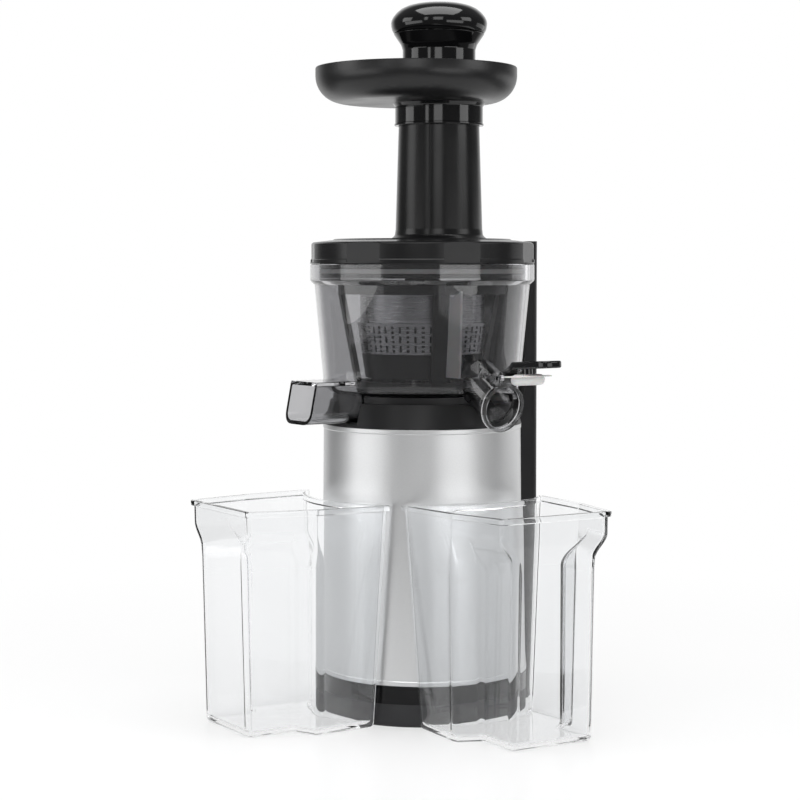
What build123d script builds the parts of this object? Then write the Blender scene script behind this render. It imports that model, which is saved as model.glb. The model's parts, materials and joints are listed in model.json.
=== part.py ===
from build123d import *
import os
from math import acos, atan, cos, degrees, pi, radians, sin, sqrt, tan

os.makedirs("parts", exist_ok=True)

# ----------------------------------------------------------------------------------------------
# Driving dimensions, in millimetres. The origin is on the machine's axis at the level it stands
# on, the spine is at +Y, the pulp chute at -Y and the juice spout at +X.
# ----------------------------------------------------------------------------------------------

# Clearances
FACE_GAP = 0.2          # flat seats between pieces that lift apart
SIDE_GAP = 0.6          # sides of pieces that lift apart
SEAT_GAP = 0.15         # curved seats between fixed pieces
RUN_GAP = 0.06          # running fit of a shaft, on the radius
TURN_GAP = 0.8          # space round pieces that turn

# Foot ring, trim ring and silver body
FOOT_PROUD = 0.2
FOOT_HEIGHT = 13.5
FOOT_WALL = 4.0
FOOT_CHAMFER = 1.2
LEDGE_Z = 5.2
LEDGE_THICK = 2.5
LEDGE_RADIUS = 48.0
PLATE_THICK = 2.4
TRIM_PROUD = 0.6
TRIM_HEIGHT = 10.5
SLEEVE_WALL = 2.3
SLEEVE_REACH = 5.0
BODY_RADIUS_BOTTOM = 61.3
BODY_RADIUS_TOP = 60.0
BODY_HEIGHT = 150.4
BODY_WALL = 1.6
LIP_PROUD = 0.4
HOLE_REACH = 500.0
LIP_HEIGHT = 1.2
SCREW_RADIUS = 1.5
SCREW_HEAD_RADIUS = 3.0
SCREW_HEAD_THICK = 1.6
BASE_SCREW_PITCH_RADIUS = 53.2
PAD_RADIUS = 7.5
PAD_PITCH_RADIUS = 42.0
PAD_NUB_RADIUS = 3.0
VENT_COUNT = 10
VENT_PITCH_RADIUS = 23.0
VENT_LENGTH = 14.0
VENT_WIDTH = 3.2

# Bowl seat, the black collar on top of the body
SEAT_SKIRT_HEIGHT = 14.2
SEAT_STEP_HEIGHT = 4.1
SEAT_RADIUS_TOP = 57.0
SEAT_STEP_RADIUS = 55.2
SEAT_WALL = 3.0
SEAT_DECK_THICK = 2.6
SEAT_DECK_RISE = 1.2
SEAT_SPIGOT_DEPTH = 9.0

# Motor
SHAFT_RADIUS = 4.0
PINION_SEAT_RADIUS = 2.5
MOTOR_Z = 18.0
MOTOR_BEARING_RADIUS = 11.0
MOTOR_BEARING_WIDTH = 7.0
STATOR_RADIUS = 41.0
STATOR_Z = 42.0
STATOR_HEIGHT = 48.0
AIR_GAP = 0.4
ROTOR_RADIUS = 24.0
STATOR_SLOTS = 12
SLOT_WIDTH = 4.6
SLOT_DEPTH = 8.0
WINDING_GAP = 0.2
WINDING_HEIGHT = 6.0
BRACKET_WALL = 2.5
BOLT_PITCH_RADIUS = 45.4
BOLT_RADIUS = 2.0
BOLT_EAR_RADIUS = 4.6
BOLT_EAR_HEIGHT = 6.0
LEG_PITCH_RADIUS = 43.5
LEG_RADIUS = 4.2
LEG_Z = 10.5
FAN_RADIUS = 33.0
FAN_BLADES = 8
CAPACITOR_RADIUS = 6.8
CAPACITOR_HEIGHT = 36.0
CAPACITOR_PITCH_RADIUS = 49.8
CAPACITOR_ANGLE = 67.5

# Gearbox
GEARBOX_FLOOR_THICK = 3.0
GEARBOX_RADIUS = 53.0
GEARBOX_WALL = 2.5
GEARBOX_DEPTH = 25.0
GEARBOX_COVER_THICK = 3.0
GEAR_MODULE = 0.9
PINION_TEETH = 12
WHEEL_TEETH = 48
WHEEL_WIDTH = 8.0
PINION_WIDTH = 10.0
LAYSHAFT_RADIUS = 3.0
LAYSHAFT_SLEEVE_WALL = 1.5
COVER_SCREW_ANGLES = (30, 110, 250, 330)
COVER_SCREW_PITCH_RADIUS = 48.0
POST_PITCH_RADIUS = 45.0
POST_RADIUS = 4.0
DRIVE_RADIUS = 5.0
DRIVE_BEARING_RADIUS = 13.0
DRIVE_BEARING_WIDTH = 8.0
BEARING_CUP_WALL = 2.4
HEX_ACROSS = 8.0
HEX_GAP = 0.2
HEX_LENGTH = 19.0

# Bowl
BOWL_RADIUS_BOTTOM = 60.2
BOWL_RADIUS_TOP = 65.5
BOWL_WALL = 2.6
BOWL_FLOOR_THICK = 2.2
BOWL_CORNER = 6.8
BOWL_WALL_HEIGHT = 65.5
SHOULDER_HEIGHT = 2.6
FLANGE_RADIUS = 68.2
FLANGE_HEIGHT = 9.8
SPIGOT_RADIUS = 51.6
SPIGOT_WALL = 2.0
HUB_RADIUS = 12.4
HUB_DEPTH = 4.0
SEAL_BORE_GAP = 0.3
SEAL_THICK = 2.1

# Pulp chute
CHUTE_WIDTH = 29.0
CHUTE_DROP = 15.9
CHUTE_RISE = 9.1
CHUTE_WALL = 2.2
CHUTE_CORNER = 8.0
CHUTE_TOP_REACH = 85.0
CHUTE_BOTTOM_REACH = 90.0
CHUTE_START = 18.0
CHUTE_SLOPE_END = 34.0
CHUTE_SLOPE_DROP = 8.0
PULP_HOLE_REACH = 31.0
PULP_HOLE_WIDTH = 20.0

# Juice spout and its cap
SPOUT_RADIUS = 13.0
SPOUT_WALL = 2.0
SPOUT_SLOPE = 32.0
SPOUT_LENGTH = 36.0
SPOUT_ROOT_X = 58.0
SPOUT_ROOT_Z = 202.0
SPOUT_MOUTH_X = 81.0
SPOUT_LIP_RADIUS = 14.5
SPOUT_LIP_THICK = 3.0
MOUTH_TILT = 12.0
MOUTH_BORE_RADIUS = 12.4
MOUTH_BORE_DEPTH = 6.9
HINGE_X = 85.0
HINGE_Z = 205.4
HINGE_PIN_RADIUS = 1.2
HINGE_EAR_THICK = 2.6
HINGE_EAR_RADIUS = 3.4
HINGE_WIDTH = 16.0
HINGE_ROOT_LENGTH = 10.5
HINGE_ROOT_DEPTH = 2.0
CAP_OPEN = 105.5
LEVER_THICK = 3.2
LEVER_NECK = 10.0
LEVER_LENGTH = 43.0
LEVER_WIDTH = 15.0
LEVER_NECK_CORNER = 4.0
LEVER_TIP_CORNER = 6.5
PLUG_RADIUS = 9.7
PLUG_DEPTH = 3.2
PLUG_TAPER = 4.0
PLUG_LIP_RADIUS = 13.8
PLUG_LIP_THICK = 1.0
PLUG_NECK_HEIGHT = 2.2
PLUG_STEM_RADIUS = 2.8
PLUG_STEM_HEIGHT = 2.6

# Auger
AUGER_GAP = 0.7
AUGER_CORE_BOTTOM = 24.0
AUGER_CORE_TOP = 10.5
AUGER_HEIGHT = 56.0
AUGER_PITCH = 27.0
FLIGHT_THICK = 3.4
AUGER_BOSS_RADIUS = 7.6
SOCKET_RADIUS = 6.2
NOSE_RADIUS = 4.2
NOSE_LENGTH = 13.0

# Strainer
STRAINER_FLOOR_LIFT = 7.3
STRAINER_FLOOR_THICK = 2.5
STRAINER_BOTTOM_RADIUS = 34.5
DRUM_RADIUS_BOTTOM = 36.8
DRUM_RADIUS_TOP = 39.5
DRUM_Z = 217.0
DRUM_HEIGHT = 19.0
DRUM_THICK = 0.8
DRUM_COLUMNS = 36
DRUM_SLOT_WIDTH = 1.1
DRUM_SLOT_HEIGHT = 3.4
DRUM_SLOT_PITCH = 5.2
DRUM_ROWS = 3
MESH_RADIUS = 38.0
MESH_HEIGHT = 17.0
CAGE_THICK = 1.6
CAGE_PILLARS = 6
CAGE_RING_RADIUS = 42.0
CAGE_PILLAR_WIDTH = 5.0
CAGE_RING_HEIGHT = 4.0

# Brush and its gearing
BRUSH_MODULE = 1.9
BRUSH_PINION_TEETH = 12
BRUSH_RING_TEETH = 36
BRUSH_GEAR_WIDTH = 4.6
BRUSH_RING_RADIUS = 40.3
BRUSH_ARMS = 4
BRUSH_ARM_TURN = -22.5
BRUSH_ARM_WIDTH = 9.0
BRUSH_ARM_THICK = 3.0
BRUSH_TOP_RADIUS = 51.0
BRUSH_TOP_HEIGHT = 5.6
WIPER_THICK = 1.6
WIPER_GAP = 0.8
WIPER_SWEEP = 10.0
IDLER_POST_RADIUS = 3.0
MESH_THICK = 0.8
PEG_X = 24.0
PEG_RADIUS = 3.0
PULP_DUCT_WALL = 1.2
PULP_DUCT_REACH = 29.6
BRUSH_FOOT_RADIUS = 37.5
BRUSH_ARM_FOOT_Z = 197.0
WIPER_Z = 204.0
WIPER_HEIGHT = 46.0

# Lid and feed tube
LID_HEIGHT = 12.3
LID_CROWN = 2.7
LID_PLATEAU_RADIUS = 53.5
LID_TOP_THICK = 2.8
LID_SKIRT_WALL = 2.2
LID_SKIRT_DEPTH = 8.5
LID_SKIRT_GAP = 0.7
GRIP_COUNT = 7
GRIP_WIDTH = 22.5
GRIP_DEPTH = 1.7
TUBE_Y = 12.6
TUBE_RADIUS_BOTTOM = 26.6
TUBE_RADIUS_TOP = 24.6
TUBE_BORE_RADIUS = 22.5
TUBE_HEIGHT = 69.0
TUBE_NECK_HEIGHT = 10.6
TUBE_FLARE = 3.0
TUBE_RIB_ANGLE = -48.0
TUBE_RIB_WIDTH = 1.8
TUBE_RIB_PROUD = 0.8
WEB_EDGE_Y = 4.5
BUSH_BOSS_DEPTH = 15.0
BUSH_BOSS_RADIUS = 8.2
BUSH_WALL = 1.8
GASKET_WIDTH = 3.0
GASKET_DEPTH = 1.1
MAGNET_ANGLE = 76.0
MAGNET_PITCH_RADIUS = 65.2
MAGNET_RADIUS = 1.9
MAGNET_HEIGHT = 5.0

# Tray, its socket and the pusher
TRAY_Y = -4.5
TRAY_RADIUS = 61.0
TRAY_HEIGHT = 24.2
TRAY_CORNER = 15.0
TRAY_WALL = 2.2
SOCKET_WALL = 2.0
SOCKET_RIBS = 18
SOCKET_FLARE_RADIUS = 33.0
SOCKET_RIB_RADIUS = 1.0
PUSHER_GAP = 0.3
PUSHER_WALL = 2.0
PUSHER_DEPTH = 72.0
PUSHER_NECK_RISE = 10.0
PUSHER_RIM_RISE = 21.0
PUSHER_WIDEST_RISE = 27.0
PUSHER_TOP_RISE = 39.5
PUSHER_RIM_RADIUS = 27.6
PUSHER_CAP_RADIUS = 29.3

# Spine
SPINE_HALF_WIDTH = 22.5
SPINE_BACK_Y = 74.5
SPINE_LIFT = 1.5
SPINE_BACK_OPENING = 16.5
SPINE_OPENING_TOP_Z = 262.0
SPINE_COVER_THICK = 2.0
SPINE_CORNER = 6.0
SPINE_WALL = 2.0
SPINE_GAP = 0.6
SPINE_FRONT_Y = 46.0
PORT_Z = 34.0
PORT_RADIUS = 4.5
SPINE_SCREW_HEIGHTS = (44.0, 110.0, 190.0, 248.0)
SPINE_BOSS_RADIUS = 3.6
SPINE_SCREW_LENGTH = 7.0
SWITCH_Z = 150.0
SWITCH_WIDTH = 19.0
SWITCH_HEIGHT = 27.0
SWITCH_DEPTH = 9.5
SWITCH_WALL = 1.2
SWITCH_BEZEL = 1.6
SWITCH_BEZEL_THICK = 1.2
SWITCH_SIDE_GAP = 0.4
ROCKER_PIVOT_DEPTH = 4.5
ROCKER_PIN_RADIUS = 1.5
ROCKER_FACE = 3.4
ROCKER_DISH = 1.0
GLAND_Z = 14.0
GLAND_RADIUS = 5.0
GLAND_BORE_RADIUS = 3.4
GLAND_FLANGE_RADIUS = 7.2
GLAND_DEPTH = 8.0
SENSOR_WIDTH = 5.0
SENSOR_OFFSET = 2.0
SENSOR_HEIGHT = 12.0
SENSOR_THICK = 1.8

# Jugs
JUG_HEIGHT = 131.0
JUG_WALL = 2.0
JUG_FLOOR = 2.4
JUG_LIP = 1.6
JUG_LIP_HEIGHT = 3.0
JUG_CORNER = 4.0
JUG_FIT_RADIUS = 61.9
JUG_INNER_REACH = 66.3
JUG_INNER_BOTTOM = (52.5, 40.4)
JUG_WAIST_BOTTOM = (91.6, 42.9)
JUG_OUTER_BOTTOM = (129.6, 37.0)
JUG_INNER_TOP = (48.9, 49.4)
JUG_WAIST_TOP = (93.0, 45.5)
JUG_OUTER_TOP = (133.0, 36.5)
GRIP_INNER = (91.6, 42.9)
GRIP_JOG = (99.6, 27.6)
GRIP_TOP_Z = 113.0
GRIP_FLARE = 1.0
JUICE_JUG_TURN = -3.4
JUICE_JUG_SHIFT = (0.8, 5.0)
PULP_JUG_TURN = -93.7
PULP_JUG_SHIFT = (2.8, -3.7)

# ----------------------------------------------------------------------------------------------
# Levels and sizes worked out from the driving dimensions
# ----------------------------------------------------------------------------------------------

plate_z = LEDGE_Z - PLATE_THICK
ledge_top_z = LEDGE_Z + LEDGE_THICK
trim_z = FOOT_HEIGHT
body_z = trim_z + TRIM_HEIGHT
body_top_z = body_z + BODY_HEIGHT
foot_radius = BODY_RADIUS_BOTTOM + FOOT_PROUD
trim_radius = BODY_RADIUS_BOTTOM + TRIM_PROUD
sleeve_radius = BODY_RADIUS_BOTTOM - BODY_WALL - 2 * SEAT_GAP

deck_z = body_top_z + SEAT_DECK_RISE
skirt_top_z = body_top_z + SEAT_SKIRT_HEIGHT
seat_top_z = skirt_top_z + SEAT_STEP_HEIGHT
seat_radius_bottom = BODY_RADIUS_TOP + LIP_PROUD
seat_inner_radius = SEAT_STEP_RADIUS - SEAT_WALL

stator_top_z = STATOR_Z + STATOR_HEIGHT
upper_bracket_z = stator_top_z + 2 * BOLT_EAR_HEIGHT
gearbox_z = upper_bracket_z + BRACKET_WALL + MOTOR_BEARING_WIDTH + GEARBOX_FLOOR_THICK
gearbox_rim_z = gearbox_z + GEARBOX_DEPTH
cover_top_z = gearbox_rim_z + GEARBOX_COVER_THICK
gear_centres = GEAR_MODULE * (PINION_TEETH + WHEEL_TEETH) / 2
first_wheel_z = gearbox_z + 2.5
second_wheel_z = first_wheel_z + PINION_WIDTH + 0.8
shaft_end_z = second_wheel_z - TURN_GAP

bowl_z = seat_top_z + FACE_GAP
bowl_floor_z = bowl_z + BOWL_FLOOR_THICK
bowl_reach = max(BOWL_RADIUS_BOTTOM, BOWL_RADIUS_TOP)
chute_bottom_z = bowl_z - CHUTE_DROP
chute_top_z = bowl_z + CHUTE_RISE
flange_top_z = bowl_z + BOWL_WALL_HEIGHT + SHOULDER_HEIGHT + FLANGE_HEIGHT
flange_z = flange_top_z - FLANGE_HEIGHT
shoulder_z = flange_z - SHOULDER_HEIGHT
bowl_rim_inner = BOWL_RADIUS_TOP - BOWL_WALL
gear_z = bowl_floor_z + TURN_GAP
gear_top_z = gear_z + BRUSH_GEAR_WIDTH
strainer_z = bowl_floor_z + STRAINER_FLOOR_LIFT
strainer_floor_z = strainer_z + STRAINER_FLOOR_THICK
mesh_z = DRUM_Z + DRUM_HEIGHT
cage_top_z = mesh_z + MESH_HEIGHT
brush_centres = BRUSH_MODULE * BRUSH_PINION_TEETH
hex_z = seat_top_z - 6.0
hex_top_z = hex_z + HEX_LENGTH
auger_z = strainer_floor_z + AUGER_GAP
auger_top_z = auger_z + AUGER_HEIGHT

lid_z = flange_top_z + FACE_GAP
lid_edge_z = lid_z + LID_HEIGHT
lid_top_z = lid_edge_z + LID_CROWN
lid_under_z = lid_top_z - LID_TOP_THICK
skirt_radius = bowl_rim_inner - LID_SKIRT_GAP
tube_top_z = lid_top_z + TUBE_HEIGHT
neck_top_z = tube_top_z + TUBE_NECK_HEIGHT
tray_z = neck_top_z + FACE_GAP
tray_top_z = tray_z + TRAY_HEIGHT
tray_floor_z = tray_z + TRAY_WALL
socket_bore_radius = TUBE_RADIUS_TOP + FACE_GAP + SEAT_GAP
socket_radius = socket_bore_radius + SOCKET_WALL
stem_radius = TUBE_BORE_RADIUS - PUSHER_GAP

tube_axis = Axis((0, TUBE_Y, 0), (0, 0, 1))
tube_plane = Plane(origin=(0, TUBE_Y, 0), x_dir=(1, 0, 0), z_dir=(0, -1, 0))
tray_axis = Axis((0, TRAY_Y, 0), (0, 0, 1))
tray_plane = Plane(origin=(0, TRAY_Y, 0), x_dir=(1, 0, 0), z_dir=(0, -1, 0))


def finish(piece, name):
    """Label a finished piece and write its STEP file."""
    piece.part.label = name
    export_step(piece.part, f"parts/{name}.step")


def outline(points, plane=Plane.XZ):
    """Face inside a closed outline of (radius, height) points."""
    with BuildSketch(plane) as profile:
        with BuildLine():
            Polyline(*points, close=True)
        make_face()
    return profile.sketch


def band(inner, outer, low, high, plane=Plane.XZ):
    """Rectangular section of a ring."""
    return outline([(inner, low), (outer, low), (outer, high), (inner, high)], plane)


def polar(radius, angle):
    """Point at a radius and an angle in degrees."""
    return radius * cos(radians(angle)), radius * sin(radians(angle))


def radial_plane(angle):
    """Upright plane through the machine's axis, its first axis pointing outwards."""
    return Plane(origin=(0, 0, 0), x_dir=(*polar(1, angle), 0), z_dir=(*polar(1, angle - 90), 0))


def body_radius(z):
    """Outside radius of the tapered body at a height."""
    share = (z - body_z) / BODY_HEIGHT
    return BODY_RADIUS_BOTTOM + share * (BODY_RADIUS_TOP - BODY_RADIUS_BOTTOM)


def bowl_radius(z):
    """Outside radius of the tapered bowl wall at a height."""
    share = (z - bowl_z - BOWL_CORNER) / (shoulder_z - bowl_z - BOWL_CORNER)
    return BOWL_RADIUS_BOTTOM + share * (BOWL_RADIUS_TOP - BOWL_RADIUS_BOTTOM)


def drum_radius(z):
    """Outside radius of the slotted drum at a height."""
    share = (z - DRUM_Z) / DRUM_HEIGHT
    return DRUM_RADIUS_BOTTOM + share * (DRUM_RADIUS_TOP - DRUM_RADIUS_BOTTOM)


def gear_face(teeth, module, turn=0.0, inside=False):
    """Spur gear outline with straight flanks between the root and tip thicknesses of an involute.

    Inside, it is the hollow that a ring gear's teeth leave.
    """
    pressure = radians(20)
    play = 0.12 * module
    pitch_radius = module * teeth / 2
    base_radius = pitch_radius * cos(pressure)
    tip = pitch_radius + (1.25 if inside else 0.8) * module
    root = pitch_radius - (0.8 if inside else 1.25) * module
    half = pi / (2 * teeth) + (play if inside else -play) / (2 * pitch_radius)

    def half_angle(radius):
        slope = acos(min(1.0, base_radius / radius))
        return half + (tan(pressure) - pressure) - (tan(slope) - slope)

    points = []
    for tooth in range(teeth):
        middle = turn + 360 * tooth / teeth
        for radius, side in ((root, -1), (tip, -1), (tip, 1), (root, 1)):
            points.append(polar(radius, middle + side * degrees(half_angle(radius))))
    with BuildSketch() as profile:
        with BuildLine():
            Polyline(*points, close=True)
        make_face()
    return profile.sketch


def corner_spots(radius, angles):
    """Locations round the axis for screws, posts and pads."""
    return Locations(*[polar(radius, angle) for angle in angles])


def through_hole(radius):
    """Cut an upright round hole through the whole piece at each present location."""
    Cylinder(
        radius,
        HOLE_REACH,
        align=(Align.CENTER, Align.CENTER, Align.MIN),
        mode=Mode.SUBTRACT,
    )


QUARTERS = (0, 90, 180, 270)
DIAGONALS = (45, 135, 225, 315)

# ----------------------------------------------------------------------------------------------
# Base
# ----------------------------------------------------------------------------------------------

foot_bore = foot_radius - FOOT_WALL
sleeve_bottom_z = trim_z - SLEEVE_REACH

with BuildPart() as foot_ring:
    revolve(
        outline([
            (foot_bore, 0),
            (foot_radius - FOOT_CHAMFER, 0),
            (foot_radius, FOOT_CHAMFER),
            (foot_radius, FOOT_HEIGHT),
            (sleeve_radius + SEAT_GAP, FOOT_HEIGHT),
            (sleeve_radius + SEAT_GAP, sleeve_bottom_z),
            (foot_bore, sleeve_bottom_z),
            (foot_bore, ledge_top_z),
            (LEDGE_RADIUS, ledge_top_z),
            (LEDGE_RADIUS, LEDGE_Z),
            (foot_bore, LEDGE_Z),
        ]),
        axis=Axis.Z,
    )
    with corner_spots(BASE_SCREW_PITCH_RADIUS, DIAGONALS):
        through_hole(SCREW_RADIUS + SEAT_GAP)
finish(foot_ring, "foot_ring")

with BuildPart() as bottom_plate:
    with BuildSketch(Plane.XY.offset(plate_z)):
        Circle(foot_bore - SEAT_GAP)
        with corner_spots(BASE_SCREW_PITCH_RADIUS, DIAGONALS):
            Circle(SCREW_RADIUS + SEAT_GAP, mode=Mode.SUBTRACT)
        with corner_spots(PAD_PITCH_RADIUS, DIAGONALS):
            Circle(PAD_NUB_RADIUS, mode=Mode.SUBTRACT)
        with PolarLocations(VENT_PITCH_RADIUS, VENT_COUNT):
            SlotOverall(VENT_LENGTH, VENT_WIDTH, mode=Mode.SUBTRACT)
    extrude(amount=PLATE_THICK)
finish(bottom_plate, "bottom_plate")

with BuildPart() as rubber_feet:
    with BuildSketch():
        with corner_spots(PAD_PITCH_RADIUS, DIAGONALS):
            Circle(PAD_RADIUS)
    extrude(amount=plate_z)
    with BuildSketch(Plane.XY.offset(plate_z)):
        with corner_spots(PAD_PITCH_RADIUS, DIAGONALS):
            Circle(PAD_NUB_RADIUS - SEAT_GAP)
    extrude(amount=PLATE_THICK)
finish(rubber_feet, "rubber_feet")

screw_reach = trim_z - 1.5 - plate_z
with BuildPart() as base_screws:
    with BuildSketch(Plane.XY.offset(plate_z)):
        with corner_spots(BASE_SCREW_PITCH_RADIUS, DIAGONALS):
            Circle(SCREW_HEAD_RADIUS)
    extrude(amount=-SCREW_HEAD_THICK)
    with BuildSketch(Plane.XY.offset(plate_z)):
        with corner_spots(BASE_SCREW_PITCH_RADIUS, DIAGONALS):
            Circle(SCREW_RADIUS)
    extrude(amount=screw_reach)
finish(base_screws, "base_screws")

trim_boss_radius = foot_bore - SEAT_GAP - BASE_SCREW_PITCH_RADIUS
with BuildPart() as trim_ring:
    revolve(
        outline([
            (sleeve_radius - SLEEVE_WALL, sleeve_bottom_z),
            (sleeve_radius, sleeve_bottom_z),
            (sleeve_radius, trim_z),
            (trim_radius, trim_z),
            (trim_radius, body_z),
            (sleeve_radius, body_z),
            (sleeve_radius, body_z + SLEEVE_REACH),
            (sleeve_radius - SLEEVE_WALL, body_z + SLEEVE_REACH),
        ]),
        axis=Axis.Z,
    )
    with BuildSketch(Plane.XY.offset(ledge_top_z)):
        with corner_spots(BASE_SCREW_PITCH_RADIUS, DIAGONALS):
            Circle(trim_boss_radius)
    extrude(amount=trim_z - ledge_top_z)
    with corner_spots(BASE_SCREW_PITCH_RADIUS, DIAGONALS):
        through_hole(SCREW_RADIUS + SEAT_GAP / 2)
finish(trim_ring, "trim_ring")

with BuildPart() as body_shell:
    revolve(
        outline([
            (BODY_RADIUS_BOTTOM - BODY_WALL, body_z),
            (BODY_RADIUS_BOTTOM + LIP_PROUD, body_z),
            (BODY_RADIUS_BOTTOM + LIP_PROUD, body_z + LIP_HEIGHT),
            (body_radius(body_z + LIP_HEIGHT), body_z + LIP_HEIGHT),
            (body_radius(body_top_z - LIP_HEIGHT), body_top_z - LIP_HEIGHT),
            (BODY_RADIUS_TOP + LIP_PROUD, body_top_z - LIP_HEIGHT),
            (BODY_RADIUS_TOP + LIP_PROUD, body_top_z),
            (BODY_RADIUS_TOP - BODY_WALL, body_top_z),
        ]),
        axis=Axis.Z,
    )
    with BuildSketch(Plane.XZ):
        with Locations((0, PORT_Z)):
            Circle(PORT_RADIUS)
    extrude(amount=-SPINE_BACK_Y, mode=Mode.SUBTRACT)
finish(body_shell, "body_shell")

# ----------------------------------------------------------------------------------------------
# Motor
# ----------------------------------------------------------------------------------------------

bearing_cup_radius = MOTOR_BEARING_RADIUS + BRACKET_WALL
web_hole_radius = (STATOR_RADIUS - BRACKET_WALL - bearing_cup_radius) / 2 - 2.5
web_hole_pitch = (STATOR_RADIUS - BRACKET_WALL + bearing_cup_radius) / 2
lower_web_z = MOTOR_Z + MOTOR_BEARING_WIDTH

with BuildPart() as motor_lower_bracket:
    revolve(
        outline([
            (MOTOR_BEARING_RADIUS, MOTOR_Z),
            (bearing_cup_radius, MOTOR_Z),
            (bearing_cup_radius, lower_web_z),
            (STATOR_RADIUS, lower_web_z),
            (STATOR_RADIUS, STATOR_Z),
            (STATOR_RADIUS - BRACKET_WALL, STATOR_Z),
            (STATOR_RADIUS - BRACKET_WALL, lower_web_z + BRACKET_WALL),
            (SHAFT_RADIUS + TURN_GAP, lower_web_z + BRACKET_WALL),
            (SHAFT_RADIUS + TURN_GAP, lower_web_z),
            (MOTOR_BEARING_RADIUS, lower_web_z),
        ]),
        axis=Axis.Z,
    )
    with BuildSketch(Plane.XY.offset(STATOR_Z)):
        with corner_spots(BOLT_PITCH_RADIUS, DIAGONALS):
            Circle(BOLT_EAR_RADIUS)
        Circle(STATOR_RADIUS - BRACKET_WALL / 2, mode=Mode.SUBTRACT)
    extrude(amount=-BOLT_EAR_HEIGHT)
    with BuildSketch(Plane.XY.offset(LEG_Z)):
        with corner_spots(LEG_PITCH_RADIUS, QUARTERS):
            Circle(LEG_RADIUS)
        Circle(STATOR_RADIUS - BRACKET_WALL / 2, mode=Mode.SUBTRACT)
    extrude(amount=STATOR_Z - LEG_Z)
    with BuildSketch(Plane.XY.offset(lower_web_z)):
        with PolarLocations(web_hole_pitch, 6):
            Circle(web_hole_radius)
    extrude(amount=BRACKET_WALL, mode=Mode.SUBTRACT)
    with corner_spots(BOLT_PITCH_RADIUS, DIAGONALS):
        through_hole(BOLT_RADIUS + SEAT_GAP)
finish(motor_lower_bracket, "motor_lower_bracket")

bracket_top_z = upper_bracket_z + BRACKET_WALL + MOTOR_BEARING_WIDTH
with BuildPart() as motor_upper_bracket:
    revolve(
        outline([
            (STATOR_RADIUS - BRACKET_WALL, stator_top_z),
            (STATOR_RADIUS, stator_top_z),
            (STATOR_RADIUS, upper_bracket_z + BRACKET_WALL),
            (bearing_cup_radius, upper_bracket_z + BRACKET_WALL),
            (bearing_cup_radius, bracket_top_z),
            (MOTOR_BEARING_RADIUS, bracket_top_z),
            (MOTOR_BEARING_RADIUS, upper_bracket_z + BRACKET_WALL),
            (SHAFT_RADIUS + TURN_GAP, upper_bracket_z + BRACKET_WALL),
            (SHAFT_RADIUS + TURN_GAP, upper_bracket_z),
            (STATOR_RADIUS - BRACKET_WALL, upper_bracket_z),
        ]),
        axis=Axis.Z,
    )
    with BuildSketch(Plane.XY.offset(stator_top_z)):
        with corner_spots(BOLT_PITCH_RADIUS, DIAGONALS):
            Circle(BOLT_EAR_RADIUS)
        Circle(STATOR_RADIUS - BRACKET_WALL / 2, mode=Mode.SUBTRACT)
    extrude(amount=BOLT_EAR_HEIGHT)
    with BuildSketch(Plane.XY.offset(upper_bracket_z)):
        with PolarLocations(web_hole_pitch, 6):
            Circle(web_hole_radius)
    extrude(amount=BRACKET_WALL, mode=Mode.SUBTRACT)
    with corner_spots(BOLT_PITCH_RADIUS, DIAGONALS):
        through_hole(BOLT_RADIUS + SEAT_GAP)
finish(motor_upper_bracket, "motor_upper_bracket")

with BuildPart() as motor_mounts:
    with BuildSketch(Plane.XY.offset(LEDGE_Z)):
        with corner_spots(LEG_PITCH_RADIUS, QUARTERS):
            Circle(LEG_RADIUS)
    extrude(amount=LEG_Z - LEDGE_Z)
finish(motor_mounts, "motor_mounts")

stator_bore = ROTOR_RADIUS + AIR_GAP
slot_middle = stator_bore + SLOT_DEPTH / 2
with BuildPart() as stator_core:
    with BuildSketch(Plane.XY.offset(STATOR_Z)):
        Circle(STATOR_RADIUS)
        Circle(stator_bore, mode=Mode.SUBTRACT)
        with PolarLocations(slot_middle, STATOR_SLOTS):
            Rectangle(SLOT_DEPTH, SLOT_WIDTH, mode=Mode.SUBTRACT)
        with PolarLocations(stator_bore, STATOR_SLOTS):
            Rectangle(SLOT_DEPTH / 2, SLOT_WIDTH / 2, mode=Mode.SUBTRACT)
    extrude(amount=STATOR_HEIGHT)
finish(stator_core, "stator_core")

winding_inner = stator_bore + 1.2
winding_outer = stator_bore + SLOT_DEPTH - WINDING_GAP
with BuildPart() as stator_windings:
    for low in (STATOR_Z - WINDING_HEIGHT, stator_top_z):
        revolve(band(winding_inner, winding_outer, low, low + WINDING_HEIGHT), axis=Axis.Z)
    with BuildSketch(Plane.XY.offset(STATOR_Z)):
        with PolarLocations((winding_inner + winding_outer) / 2, STATOR_SLOTS):
            Rectangle(winding_outer - winding_inner - WINDING_GAP, SLOT_WIDTH - 2 * WINDING_GAP)
    extrude(amount=STATOR_HEIGHT)
finish(stator_windings, "stator_windings")

end_ring_height = WINDING_HEIGHT - 2.0
with BuildPart() as rotor_core:
    revolve(
        outline([
            (SHAFT_RADIUS, STATOR_Z),
            (ROTOR_RADIUS / 2, STATOR_Z),
            (ROTOR_RADIUS / 2, STATOR_Z - end_ring_height),
            (ROTOR_RADIUS - 1.5, STATOR_Z - end_ring_height),
            (ROTOR_RADIUS - 1.5, STATOR_Z),
            (ROTOR_RADIUS, STATOR_Z),
            (ROTOR_RADIUS, stator_top_z),
            (ROTOR_RADIUS - 1.5, stator_top_z),
            (ROTOR_RADIUS - 1.5, stator_top_z + end_ring_height),
            (ROTOR_RADIUS / 2, stator_top_z + end_ring_height),
            (ROTOR_RADIUS / 2, stator_top_z),
            (SHAFT_RADIUS, stator_top_z),
        ]),
        axis=Axis.Z,
    )
finish(rotor_core, "rotor_core")

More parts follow.
